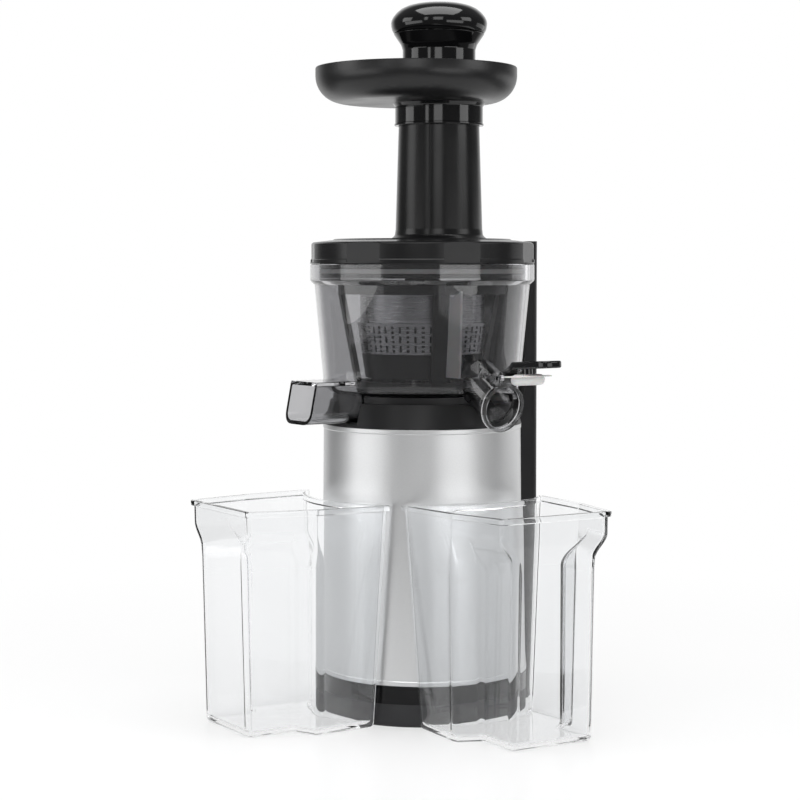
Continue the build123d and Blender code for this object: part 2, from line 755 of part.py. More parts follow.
neck_z = gearbox_z - GEARBOX_FLOOR_THICK
with BuildPart() as motor_shaft:
    revolve(
        outline([
            (0, MOTOR_Z - TURN_GAP),
            (SHAFT_RADIUS, MOTOR_Z - TURN_GAP),
            (SHAFT_RADIUS, neck_z),
            (PINION_SEAT_RADIUS, neck_z),
            (PINION_SEAT_RADIUS, shaft_end_z),
            (0, shaft_end_z),
        ]),
        axis=Axis.Z,
    )
finish(motor_shaft, "motor_shaft")

fan_z = stator_top_z + WINDING_HEIGHT + TURN_GAP
fan_top_z = upper_bracket_z - TURN_GAP
with BuildPart() as cooling_fan:
    revolve(band(SHAFT_RADIUS, 2 * SHAFT_RADIUS, fan_z, fan_top_z), axis=Axis.Z)
    revolve(band(SHAFT_RADIUS, FAN_RADIUS, fan_z, fan_z + 1.2), axis=Axis.Z)
    with BuildSketch(Plane.XY.offset(fan_z)):
        with PolarLocations(FAN_RADIUS * 0.65, FAN_BLADES):
            Rectangle(FAN_RADIUS * 0.6, 1.4, rotation=25)
    extrude(amount=fan_top_z - fan_z)
finish(cooling_fan, "cooling_fan")

with BuildPart() as motor_bearings:
    for low in (MOTOR_Z, upper_bracket_z + BRACKET_WALL):
        revolve(
            band(SHAFT_RADIUS + RUN_GAP, MOTOR_BEARING_RADIUS, low, low + MOTOR_BEARING_WIDTH),
            axis=Axis.Z,
        )
finish(motor_bearings, "motor_bearings")

bolt_z = STATOR_Z - BOLT_EAR_HEIGHT
with BuildPart() as motor_bolts:
    with BuildSketch(Plane.XY.offset(bolt_z)):
        with corner_spots(BOLT_PITCH_RADIUS, DIAGONALS):
            RegularPolygon(BOLT_RADIUS * 1.9, 6)
    extrude(amount=-2 * BOLT_RADIUS)
    with BuildSketch(Plane.XY.offset(bolt_z)):
        with corner_spots(BOLT_PITCH_RADIUS, DIAGONALS):
            Circle(BOLT_RADIUS)
    extrude(amount=gearbox_z - bolt_z)
    with BuildSketch(Plane.XY.offset(gearbox_z)):
        with corner_spots(BOLT_PITCH_RADIUS, DIAGONALS):
            RegularPolygon(BOLT_RADIUS * 1.9, 6)
    extrude(amount=2 * BOLT_RADIUS)
finish(motor_bolts, "motor_bolts")

with BuildPart() as run_capacitor:
    with BuildSketch(Plane.XY.offset(ledge_top_z)):
        with corner_spots(CAPACITOR_PITCH_RADIUS, (CAPACITOR_ANGLE,)):
            Circle(CAPACITOR_RADIUS)
    extrude(amount=CAPACITOR_HEIGHT)
    fillet(run_capacitor.faces().sort_by(Axis.Z)[-1].edges(), 1.5)
finish(run_capacitor, "run_capacitor")

# ----------------------------------------------------------------------------------------------
# Gearbox: motor pinion to layshaft wheel, layshaft pinion to output wheel, both in line
# ----------------------------------------------------------------------------------------------

lay_spot = (-gear_centres, 0)
half_pinion = 180 / PINION_TEETH
lay_sleeve_radius = LAYSHAFT_RADIUS + RUN_GAP + LAYSHAFT_SLEEVE_WALL
screw_boss_radius = SCREW_RADIUS + 1.8

with BuildPart() as gearbox_housing:
    with BuildSketch(Plane.XY.offset(gearbox_z)):
        Circle(GEARBOX_RADIUS)
        Circle(SHAFT_RADIUS + TURN_GAP, mode=Mode.SUBTRACT)
    extrude(amount=-GEARBOX_FLOOR_THICK)
    with BuildSketch(Plane.XY.offset(gearbox_z)):
        Circle(GEARBOX_RADIUS)
        Circle(GEARBOX_RADIUS - GEARBOX_WALL, mode=Mode.SUBTRACT)
        with corner_spots(COVER_SCREW_PITCH_RADIUS, COVER_SCREW_ANGLES):
            Circle(screw_boss_radius)
    extrude(amount=GEARBOX_DEPTH)
    with BuildSketch(Plane.XY.offset(stator_top_z + BOLT_EAR_HEIGHT)):
        with corner_spots(BOLT_PITCH_RADIUS, DIAGONALS):
            Circle(BOLT_EAR_RADIUS)
        Circle(STATOR_RADIUS + SEAT_GAP, mode=Mode.SUBTRACT)
    extrude(amount=gearbox_z - GEARBOX_FLOOR_THICK - stator_top_z - BOLT_EAR_HEIGHT)
    with corner_spots(BOLT_PITCH_RADIUS, DIAGONALS):
        through_hole(BOLT_RADIUS + SEAT_GAP)
    with Locations(lay_spot):
        through_hole(LAYSHAFT_RADIUS + SEAT_GAP / 2)
    with BuildSketch(Plane.XY.offset(gearbox_rim_z)):
        with corner_spots(COVER_SCREW_PITCH_RADIUS, COVER_SCREW_ANGLES):
            Circle(SCREW_RADIUS + SEAT_GAP / 2)
    extrude(amount=-GEARBOX_DEPTH / 2, mode=Mode.SUBTRACT)
finish(gearbox_housing, "gearbox_housing")

post_top_z = deck_z - SEAT_DECK_THICK
with BuildPart() as gearbox_cover:
    with BuildSketch(Plane.XY.offset(gearbox_rim_z)):
        Circle(GEARBOX_RADIUS)
    extrude(amount=GEARBOX_COVER_THICK)
    with BuildSketch(Plane.XY.offset(cover_top_z)):
        Circle(DRIVE_BEARING_RADIUS + BEARING_CUP_WALL)
    extrude(amount=DRIVE_BEARING_WIDTH)
    with BuildSketch(Plane.XY.offset(cover_top_z)):
        Circle(DRIVE_BEARING_RADIUS)
    extrude(amount=DRIVE_BEARING_WIDTH, mode=Mode.SUBTRACT)
    with BuildSketch(Plane.XY.offset(cover_top_z)):
        with corner_spots(POST_PITCH_RADIUS, DIAGONALS):
            Circle(POST_RADIUS)
    extrude(amount=post_top_z - cover_top_z)
    through_hole(DRIVE_RADIUS + TURN_GAP)
    with Locations(lay_spot):
        through_hole(LAYSHAFT_RADIUS + SEAT_GAP / 2)
    with corner_spots(COVER_SCREW_PITCH_RADIUS, COVER_SCREW_ANGLES):
        through_hole(SCREW_RADIUS + SEAT_GAP)
    with BuildSketch(Plane.XY.offset(post_top_z)):
        with corner_spots(POST_PITCH_RADIUS, DIAGONALS):
            Circle(SCREW_RADIUS + SEAT_GAP / 2)
    extrude(amount=-10, mode=Mode.SUBTRACT)
finish(gearbox_cover, "gearbox_cover")

with BuildPart() as gearbox_screws:
    with BuildSketch(Plane.XY.offset(cover_top_z)):
        with corner_spots(COVER_SCREW_PITCH_RADIUS, COVER_SCREW_ANGLES):
            Circle(SCREW_HEAD_RADIUS)
    extrude(amount=SCREW_HEAD_THICK)
    with BuildSketch(Plane.XY.offset(cover_top_z)):
        with corner_spots(COVER_SCREW_PITCH_RADIUS, COVER_SCREW_ANGLES):
            Circle(SCREW_RADIUS)
    extrude(amount=-GEARBOX_COVER_THICK - GEARBOX_DEPTH / 3)
finish(gearbox_screws, "gearbox_screws")

with BuildPart() as motor_pinion:
    with BuildSketch(Plane.XY.offset(first_wheel_z - TURN_GAP)):
        add(gear_face(PINION_TEETH, GEAR_MODULE, turn=half_pinion))
        Circle(PINION_SEAT_RADIUS, mode=Mode.SUBTRACT)
    extrude(amount=PINION_WIDTH)
finish(motor_pinion, "motor_pinion")

with BuildPart() as layshaft_pin:
    with BuildSketch(Plane.XY.offset(gearbox_z - GEARBOX_FLOOR_THICK)):
        with Locations(lay_spot):
            Circle(LAYSHAFT_RADIUS)
    extrude(amount=cover_top_z - gearbox_z + GEARBOX_FLOOR_THICK)
finish(layshaft_pin, "layshaft_pin")

with BuildPart() as layshaft_gear:
    with BuildSketch(Plane.XY.offset(first_wheel_z)):
        with Locations(lay_spot):
            add(gear_face(WHEEL_TEETH, GEAR_MODULE))
            Circle(lay_sleeve_radius, mode=Mode.SUBTRACT)
    extrude(amount=WHEEL_WIDTH)
finish(layshaft_gear, "layshaft_gear")

lay_sleeve_z = gearbox_z + FACE_GAP
lay_pinion_z = first_wheel_z + WHEEL_WIDTH
with BuildPart() as layshaft_pinion:
    with BuildSketch(Plane.XY.offset(lay_sleeve_z)):
        with Locations(lay_spot):
            Circle(lay_sleeve_radius)
    extrude(amount=lay_pinion_z - lay_sleeve_z)
    with BuildSketch(Plane.XY.offset(lay_pinion_z)):
        with Locations(lay_spot):
            add(gear_face(PINION_TEETH, GEAR_MODULE, turn=half_pinion))
    extrude(amount=gearbox_rim_z - FACE_GAP - lay_pinion_z)
    with Locations(lay_spot):
        through_hole(LAYSHAFT_RADIUS + RUN_GAP)
finish(layshaft_pinion, "layshaft_pinion")

with BuildPart() as output_gear:
    with BuildSketch(Plane.XY.offset(second_wheel_z)):
        add(gear_face(WHEEL_TEETH, GEAR_MODULE))
        Circle(DRIVE_RADIUS, mode=Mode.SUBTRACT)
    extrude(amount=WHEEL_WIDTH)
finish(output_gear, "output_gear")

with BuildPart() as drive_shaft:
    with BuildSketch(Plane.XY.offset(second_wheel_z)):
        Circle(DRIVE_RADIUS)
    extrude(amount=hex_z - second_wheel_z)
    with BuildSketch(Plane.XY.offset(hex_z)):
        RegularPolygon(HEX_ACROSS / 2, 6, major_radius=False)
    extrude(amount=HEX_LENGTH)
    chamfer(drive_shaft.faces().sort_by(Axis.Z)[-1].edges(), 0.8)
finish(drive_shaft, "drive_shaft")

upper_bearing_z = deck_z - SEAT_DECK_THICK
with BuildPart() as drive_bearings:
    for low in (cover_top_z, upper_bearing_z):
        revolve(
            band(DRIVE_RADIUS + RUN_GAP, DRIVE_BEARING_RADIUS, low, low + DRIVE_BEARING_WIDTH),
            axis=Axis.Z,
        )
finish(drive_bearings, "drive_bearings")

# ----------------------------------------------------------------------------------------------
# Bowl seat
# ----------------------------------------------------------------------------------------------

spout_run = SPOUT_MOUTH_X - SPOUT_ROOT_X
spout_drop = spout_run * tan(radians(SPOUT_SLOPE))
mouth_z = SPOUT_ROOT_Z - spout_drop
spout_along = Vector(cos(radians(SPOUT_SLOPE)), 0, -sin(radians(SPOUT_SLOPE)))
mouth_normal = Vector(cos(radians(MOUTH_TILT)), 0, -sin(radians(MOUTH_TILT)))
mouth_centre = Vector(SPOUT_MOUTH_X, 0, mouth_z)
spout_start = mouth_centre - spout_along * SPOUT_LENGTH
spout_plane = Plane(origin=spout_start, x_dir=(0, 1, 0), z_dir=spout_along)
mouth_plane = Plane(origin=mouth_centre, x_dir=(0, 1, 0), z_dir=mouth_normal)

cup_top_z = upper_bearing_z + DRIVE_BEARING_WIDTH + BEARING_CUP_WALL
cup_radius = DRIVE_BEARING_RADIUS + BEARING_CUP_WALL
with BuildPart() as bowl_seat:
    revolve(
        outline([
            (SEAT_STEP_RADIUS - 1.5, body_top_z - SEAT_SPIGOT_DEPTH),
            (BODY_RADIUS_TOP - BODY_WALL - SEAT_GAP, body_top_z - SEAT_SPIGOT_DEPTH),
            (BODY_RADIUS_TOP - BODY_WALL - SEAT_GAP, body_top_z),
            (seat_radius_bottom, body_top_z),
            (SEAT_RADIUS_TOP, skirt_top_z),
            (SEAT_STEP_RADIUS, skirt_top_z),
            (SEAT_STEP_RADIUS, seat_top_z),
            (seat_inner_radius, seat_top_z),
            (seat_inner_radius, deck_z),
            (cup_radius, deck_z),
            (cup_radius, cup_top_z - 1.5),
            (cup_radius - 1.5, cup_top_z),
            (DRIVE_RADIUS + TURN_GAP, cup_top_z),
            (DRIVE_RADIUS + TURN_GAP, upper_bearing_z + DRIVE_BEARING_WIDTH),
            (DRIVE_BEARING_RADIUS, upper_bearing_z + DRIVE_BEARING_WIDTH),
            (DRIVE_BEARING_RADIUS, upper_bearing_z),
            (SEAT_STEP_RADIUS - 1.5, upper_bearing_z),
        ]),
        axis=Axis.Z,
    )
    with BuildSketch(Plane.XY.offset(chute_bottom_z - SIDE_GAP)):
        with Locations((0, -seat_radius_bottom)):
            Rectangle(CHUTE_WIDTH + 2 * SIDE_GAP, 2 * (seat_radius_bottom - seat_inner_radius) + 6)
    extrude(amount=seat_top_z, mode=Mode.SUBTRACT)
    with BuildSketch(spout_plane):
        Circle(SPOUT_RADIUS + SIDE_GAP)
    extrude(amount=SPOUT_LENGTH, mode=Mode.SUBTRACT)
    with corner_spots(POST_PITCH_RADIUS, DIAGONALS):
        through_hole(SCREW_RADIUS + SEAT_GAP)
finish(bowl_seat, "bowl_seat")

with BuildPart() as seat_screws:
    with BuildSketch(Plane.XY.offset(deck_z)):
        with corner_spots(POST_PITCH_RADIUS, DIAGONALS):
            Circle(SCREW_HEAD_RADIUS)
    extrude(amount=SCREW_HEAD_THICK)
    with BuildSketch(Plane.XY.offset(deck_z)):
        with corner_spots(POST_PITCH_RADIUS, DIAGONALS):
            Circle(SCREW_RADIUS)
    extrude(amount=-SEAT_DECK_THICK - 8)
finish(seat_screws, "seat_screws")

# ----------------------------------------------------------------------------------------------
# Bowl with juice spout and pulp chute
# ----------------------------------------------------------------------------------------------

corner_mid = BOWL_CORNER * (1 - sqrt(0.5))
inner_bottom_radius = BOWL_RADIUS_BOTTOM - BOWL_WALL
inner_corner = BOWL_CORNER - BOWL_WALL
inner_mid = inner_corner * (1 - sqrt(0.5))
seal_bore = AUGER_BOSS_RADIUS + SEAL_BORE_GAP + SEAL_THICK
chute_floor_z = chute_bottom_z + CHUTE_WALL
chute_hollow_start = CHUTE_START + CHUTE_WALL
chute_rise_y = BOWL_RADIUS_BOTTOM + CHUTE_WALL
spigot_bottom_z = deck_z + TURN_GAP
idler_spot = (0, brush_centres)

hinge_spot = Vector(HINGE_X, 0, HINGE_Z)
shut_along = (-sin(radians(MOUTH_TILT)), 0, -cos(radians(MOUTH_TILT)))
shut_plane = Plane(origin=hinge_spot, x_dir=shut_along, z_dir=(0, -1, 0))
mouth_along = (mouth_centre - hinge_spot).dot(Vector(shut_along))
mouth_out = (mouth_centre - hinge_spot).dot(mouth_normal)
lip_along = mouth_along - SPOUT_LIP_RADIUS
ear_inside = HINGE_WIDTH / 2 - HINGE_EAR_THICK


def chute_section(inset, plane):
    """Section of the chute, its two lower corners well rounded."""
    with BuildSketch(plane) as section:
        with Locations((0, (chute_bottom_z + chute_top_z) / 2)):
            Rectangle(CHUTE_WIDTH - 2 * inset, chute_top_z - chute_bottom_z - 2 * inset)
        fillet(section.vertices().sort_by(Axis.Y)[:2], CHUTE_CORNER - inset)
    return section.sketch


with BuildPart() as chute_outside:
    extrude(chute_section(0, Plane.XZ.offset(CHUTE_START)), amount=CHUTE_BOTTOM_REACH - CHUTE_START)
    with BuildSketch(Plane.YZ):
        with BuildLine():
            Polyline(
                (-CHUTE_START, chute_top_z),
                (-CHUTE_START, chute_bottom_z + CHUTE_SLOPE_DROP),
                (-CHUTE_SLOPE_END, chute_bottom_z),
                (-CHUTE_BOTTOM_REACH, chute_bottom_z),
                (-CHUTE_TOP_REACH, chute_top_z),
                close=True,
            )
        make_face()
    extrude(amount=CHUTE_WIDTH, both=True, mode=Mode.INTERSECT)

with BuildPart() as chute_hollow:
    extrude(
        chute_section(CHUTE_WALL, Plane.XZ.offset(chute_hollow_start)),
        amount=CHUTE_BOTTOM_REACH,
    )
    with BuildSketch(Plane.YZ):
        with BuildLine():
            Polyline(
                (-chute_hollow_start, bowl_z),
                (-chute_hollow_start, chute_floor_z + CHUTE_SLOPE_DROP),
                (-CHUTE_SLOPE_END, chute_floor_z),
                (-2 * CHUTE_BOTTOM_REACH, chute_floor_z),
                (-2 * CHUTE_BOTTOM_REACH, chute_top_z),
                (-chute_rise_y, chute_top_z),
                (-chute_rise_y, bowl_z),
                close=True,
            )
        make_face()
    extrude(amount=CHUTE_WIDTH, both=True, mode=Mode.INTERSECT)

with BuildPart() as bowl:
    with BuildSketch(Plane.XZ):
        with BuildLine():
            Polyline(
                (0, bowl_z - HUB_DEPTH),
                (HUB_RADIUS, bowl_z - HUB_DEPTH),
                (HUB_RADIUS, bowl_z),
                (SPIGOT_RADIUS - SPIGOT_WALL, bowl_z),
                (SPIGOT_RADIUS - SPIGOT_WALL, spigot_bottom_z),
                (SPIGOT_RADIUS, spigot_bottom_z),
                (SPIGOT_RADIUS, bowl_z),
                (BOWL_RADIUS_BOTTOM - BOWL_CORNER, bowl_z),
            )
            ThreePointArc(
                (BOWL_RADIUS_BOTTOM - BOWL_CORNER, bowl_z),
                (BOWL_RADIUS_BOTTOM - corner_mid, bowl_z + corner_mid),
                (BOWL_RADIUS_BOTTOM, bowl_z + BOWL_CORNER),
            )
            Polyline(
                (BOWL_RADIUS_BOTTOM, bowl_z + BOWL_CORNER),
                (BOWL_RADIUS_TOP, shoulder_z),
                (FLANGE_RADIUS, flange_z),
                (FLANGE_RADIUS, flange_top_z),
                (0, flange_top_z),
                (0, bowl_z - HUB_DEPTH),
            )
        make_face()
    revolve(axis=Axis.Z)

    # spout tube, its lip, and the ears of the cap's hinge
    with BuildSketch(spout_plane):
        Circle(SPOUT_RADIUS)
    extrude(amount=SPOUT_LENGTH + SPOUT_RADIUS)
    with BuildSketch(mouth_plane):
        Circle(2 * SPOUT_LIP_RADIUS)
    extrude(amount=2 * SPOUT_RADIUS, mode=Mode.SUBTRACT)
    with BuildSketch(mouth_plane):
        Circle(SPOUT_LIP_RADIUS)
    extrude(amount=-SPOUT_LIP_THICK)
    for ear in (-HINGE_WIDTH / 2, ear_inside):
        with BuildSketch(shut_plane.offset(ear)):
            Circle(HINGE_EAR_RADIUS)
            with BuildLine():
                Polyline(
                    (-HINGE_EAR_RADIUS, 0),
                    (HINGE_EAR_RADIUS, 0),
                    (lip_along + HINGE_ROOT_DEPTH, mouth_out - SIDE_GAP),
                    (lip_along + HINGE_ROOT_DEPTH, mouth_out - HINGE_ROOT_LENGTH),
                    (lip_along - HINGE_ROOT_DEPTH, mouth_out - HINGE_ROOT_LENGTH),
                    close=True,
                )
            make_face()
        extrude(amount=HINGE_EAR_THICK)
    with BuildSketch(shut_plane):
        Circle(HINGE_EAR_RADIUS + TURN_GAP)
    extrude(amount=ear_inside, both=True, mode=Mode.SUBTRACT)
    with BuildSketch(shut_plane):
        Circle(HINGE_PIN_RADIUS + SEAT_GAP / 2)
    extrude(amount=HINGE_WIDTH, both=True, mode=Mode.SUBTRACT)

    add(chute_outside.part)

    # the space inside, with the brush idler's post left standing
    with BuildSketch(Plane.XZ):
        with BuildLine():
            Polyline(
                (0, flange_top_z),
                (0, bowl_floor_z),
                (inner_bottom_radius - inner_corner, bowl_floor_z),
            )
            ThreePointArc(
                (inner_bottom_radius - inner_corner, bowl_floor_z),
                (inner_bottom_radius - inner_mid, bowl_floor_z + inner_mid),
                (inner_bottom_radius, bowl_floor_z + inner_corner),
            )
            Polyline(
                (inner_bottom_radius, bowl_floor_z + inner_corner),
                (bowl_rim_inner, shoulder_z),
                (bowl_rim_inner, flange_top_z),
                (0, flange_top_z),
            )
        make_face()
    revolve(axis=Axis.Z, mode=Mode.SUBTRACT)
    with BuildSketch(Plane.XY.offset(bowl_floor_z)):
        with Locations(idler_spot):
            Circle(IDLER_POST_RADIUS)
    extrude(amount=gear_top_z - bowl_floor_z)

    # bores: spout, mouth, drive, pulp hole and duct
    with BuildSketch(spout_plane):
        Circle(SPOUT_RADIUS - SPOUT_WALL)
    extrude(amount=SPOUT_LENGTH + SPOUT_RADIUS, mode=Mode.SUBTRACT)
    with BuildSketch(mouth_plane):
        Circle(MOUTH_BORE_RADIUS)
    extrude(amount=-MOUTH_BORE_DEPTH, mode=Mode.SUBTRACT)
    through_hole(seal_bore)
    with BuildSketch(Plane.XY.offset(bowl_floor_z)):
        with Locations((0, -(chute_hollow_start + PULP_HOLE_REACH) / 2)):
            Rectangle(PULP_HOLE_WIDTH, PULP_HOLE_REACH - chute_hollow_start)
    extrude(amount=-2 * BOWL_FLOOR_THICK, mode=Mode.SUBTRACT)
    add(chute_hollow.part, mode=Mode.SUBTRACT)
finish(bowl, "bowl")

with BuildPart() as shaft_seal:
    revolve(
        outline([
            (AUGER_BOSS_RADIUS + SEAL_BORE_GAP, bowl_z - HUB_DEPTH),
            (seal_bore - SEAT_GAP, bowl_z - HUB_DEPTH),
            (seal_bore - SEAT_GAP, bowl_floor_z),
            (AUGER_BOSS_RADIUS + SEAL_BORE_GAP, bowl_floor_z - 1.0),
        ]),
        axis=Axis.Z,
    )
finish(shaft_seal, "shaft_seal")

flap_y = -PULP_HOLE_REACH - 2.4
with BuildPart() as pulp_flap:
    with BuildSketch(Plane.XY.offset(bowl_z)):
        with Locations((0, flap_y)):
            Rectangle(PULP_HOLE_WIDTH, 1.8)
    extrude(amount=-(bowl_z - chute_floor_z) * 0.45)
    with BuildSketch(Plane.XY.offset(bowl_z)):
        with Locations((0, flap_y - 2.0)):
            Rectangle(PULP_HOLE_WIDTH, 5.8)
    extrude(amount=-1.6)
finish(pulp_flap, "pulp_flap")

with BuildPart() as cap_hinge_pin:
    with BuildSketch(shut_plane):
        Circle(HINGE_PIN_RADIUS)
    extrude(amount=HINGE_WIDTH / 2, both=True)
finish(cap_hinge_pin, "cap_hinge_pin")

# ----------------------------------------------------------------------------------------------
# Spout cap, drawn open
# ----------------------------------------------------------------------------------------------

cap_tilt = CAP_OPEN - 90 - MOUTH_TILT
cap_along = Vector(cos(radians(cap_tilt)), 0, sin(radians(cap_tilt)))
cap_out = Vector(-sin(radians(cap_tilt)), 0, cos(radians(cap_tilt)))
plug_seat = mouth_out + FACE_GAP
plug_top = plug_seat + PLUG_LIP_THICK + PLUG_NECK_HEIGHT
lever_out = plug_top + PLUG_STEM_HEIGHT
knuckle_radius = HINGE_EAR_RADIUS - FACE_GAP
knuckle_half = ear_inside - SIDE_GAP


def cap_plane(out):
    """Plane across the cap at a distance along its outward direction."""
    return Plane(origin=hinge_spot + cap_out * out, x_dir=cap_along, z_dir=cap_out)


with BuildPart() as spout_lever:
    with BuildSketch(cap_plane(lever_out)) as lever_plan:
        with Locations(((LEVER_NECK + LEVER_LENGTH) / 2, 0)):
            Rectangle(LEVER_LENGTH - LEVER_NECK, LEVER_WIDTH)
        fillet(lever_plan.vertices().sort_by(Axis.X)[-2:], LEVER_TIP_CORNER)
        fillet(lever_plan.vertices().sort_by(Axis.X)[:2], LEVER_NECK_CORNER)
    extrude(amount=LEVER_THICK)
    fillet(spout_lever.faces().sort_by(Axis.Z)[-1].edges(), LEVER_THICK / 4)
    with BuildSketch(cap_plane(plug_top)):
        with Locations((mouth_along, 0)):
            Circle(PLUG_STEM_RADIUS)
    extrude(amount=PLUG_STEM_HEIGHT)

    # knuckle between the ears, and the neck that rises from it to the lever
    with BuildSketch(Plane(origin=hinge_spot, x_dir=cap_along, z_dir=(0, -1, 0))):
        Circle(knuckle_radius)
        with BuildLine():
            Polyline(
                polar(knuckle_radius, 145),
                (LEVER_NECK, lever_out + LEVER_THICK * 0.75),
                (LEVER_NECK + LEVER_THICK, lever_out + LEVER_THICK * 0.75),
                (LEVER_NECK + LEVER_THICK, lever_out),
                polar(knuckle_radius, 25),
                close=True,
            )
        make_face()
    extrude(amount=knuckle_half, both=True)
    with BuildSketch(shut_plane):
        Circle(HINGE_PIN_RADIUS + RUN_GAP)
    extrude(amount=HINGE_WIDTH, both=True, mode=Mode.SUBTRACT)
finish(spout_lever, "spout_lever")

with BuildPart() as spout_plug:
    with BuildSketch(cap_plane(plug_seat)):
        with Locations((mouth_along, 0)):
            Circle(PLUG_LIP_RADIUS)
    extrude(amount=PLUG_LIP_THICK)
    with BuildSketch(cap_plane(plug_seat)):
        with Locations((mouth_along, 0)):
            Circle(PLUG_RADIUS)
    extrude(amount=PLUG_LIP_THICK + PLUG_NECK_HEIGHT)
    with BuildSketch(cap_plane(plug_seat)):
        with Locations((mouth_along, 0)):
            Circle(PLUG_RADIUS)
    extrude(amount=-PLUG_DEPTH, taper=PLUG_TAPER)
finish(spout_plug, "spout_plug")

# ----------------------------------------------------------------------------------------------
# Auger
# ----------------------------------------------------------------------------------------------

cage_inner_top = MESH_RADIUS - MESH_THICK - SEAT_GAP - CAGE_THICK
flight_bottom_radius = STRAINER_BOTTOM_RADIUS - CAGE_THICK - AUGER_GAP
flight_top_radius = cage_inner_top - AUGER_GAP
flight_rise = AUGER_HEIGHT - FLIGHT_THICK
flight_root = AUGER_CORE_TOP - (flight_top_radius - flight_bottom_radius) - 1.5
socket_top_z = hex_top_z + 2.0
boss_bottom_z = hex_z + 3.0

with BuildPart() as auger:
    with BuildLine():
        flight_path = Helix(
            AUGER_PITCH,
            flight_rise,
            flight_bottom_radius,
            center=(0, 0, auger_z + FLIGHT_THICK / 2),
            cone_angle=degrees(atan((flight_top_radius - flight_bottom_radius) / flight_rise)),
        )
    with BuildSketch(Plane(origin=flight_path @ 0, x_dir=(1, 0, 0), z_dir=flight_path % 0)):
        with Locations(((flight_root - flight_bottom_radius) / 2, 0)):
            Rectangle(flight_bottom_radius - flight_root, FLIGHT_THICK)
    sweep(path=flight_path, is_frenet=True)
    revolve(
        outline([
            (0, boss_bottom_z),
            (AUGER_BOSS_RADIUS, boss_bottom_z),
            (AUGER_BOSS_RADIUS, auger_z),
            (AUGER_CORE_BOTTOM + 2.0, auger_z),
            (AUGER_CORE_BOTTOM + 2.0, auger_z + 3.0),
            (AUGER_CORE_BOTTOM, auger_z + 3.0),
            (AUGER_CORE_TOP, auger_top_z),
            (NOSE_RADIUS, auger_top_z),
            (NOSE_RADIUS, auger_top_z + NOSE_LENGTH - 1.0),
            (NOSE_RADIUS - 1.0, auger_top_z + NOSE_LENGTH),
            (0, auger_top_z + NOSE_LENGTH),
        ]),
        axis=Axis.Z,
    )
    with BuildSketch(Plane.XY.offset(gear_z)):
        add(gear_face(BRUSH_PINION_TEETH, BRUSH_MODULE))
    extrude(amount=BRUSH_GEAR_WIDTH)
    with BuildSketch(Plane.XY.offset(hex_z)):
        Circle(SOCKET_RADIUS)
    extrude(amount=socket_top_z - hex_z, mode=Mode.SUBTRACT)
finish(auger, "auger")

with BuildPart() as auger_socket:
    with BuildSketch(Plane.XY.offset(boss_bottom_z)):
        Circle(SOCKET_RADIUS)
    extrude(amount=socket_top_z - boss_bottom_z)
    with BuildSketch(Plane.XY.offset(hex_z)):
        RegularPolygon(HEX_ACROSS / 2 + HEX_GAP, 6, major_radius=False)
    extrude(amount=HEX_LENGTH + HEX_GAP, mode=Mode.SUBTRACT)
finish(auger_socket, "auger_socket")

with BuildPart() as brush_idler:
    with BuildSketch(Plane.XY.offset(bowl_floor_z + FACE_GAP)):
        with Locations(idler_spot):
            add(gear_face(BRUSH_PINION_TEETH, BRUSH_MODULE, turn=180 / BRUSH_PINION_TEETH))
            Circle(IDLER_POST_RADIUS + RUN_GAP, mode=Mode.SUBTRACT)
    extrude(amount=gear_top_z - bowl_floor_z - FACE_GAP)
finish(brush_idler, "brush_idler")

# ----------------------------------------------------------------------------------------------
# Strainer
# ----------------------------------------------------------------------------------------------

drum_seat_z = DRUM_Z + FACE_GAP
pillar_foot_radius = DRUM_RADIUS_BOTTOM - DRUM_THICK - SEAT_GAP
pillar_top_radius = MESH_RADIUS - MESH_THICK - SEAT_GAP
duct_inner_y = -(chute_hollow_start - PULP_DUCT_WALL / 2)

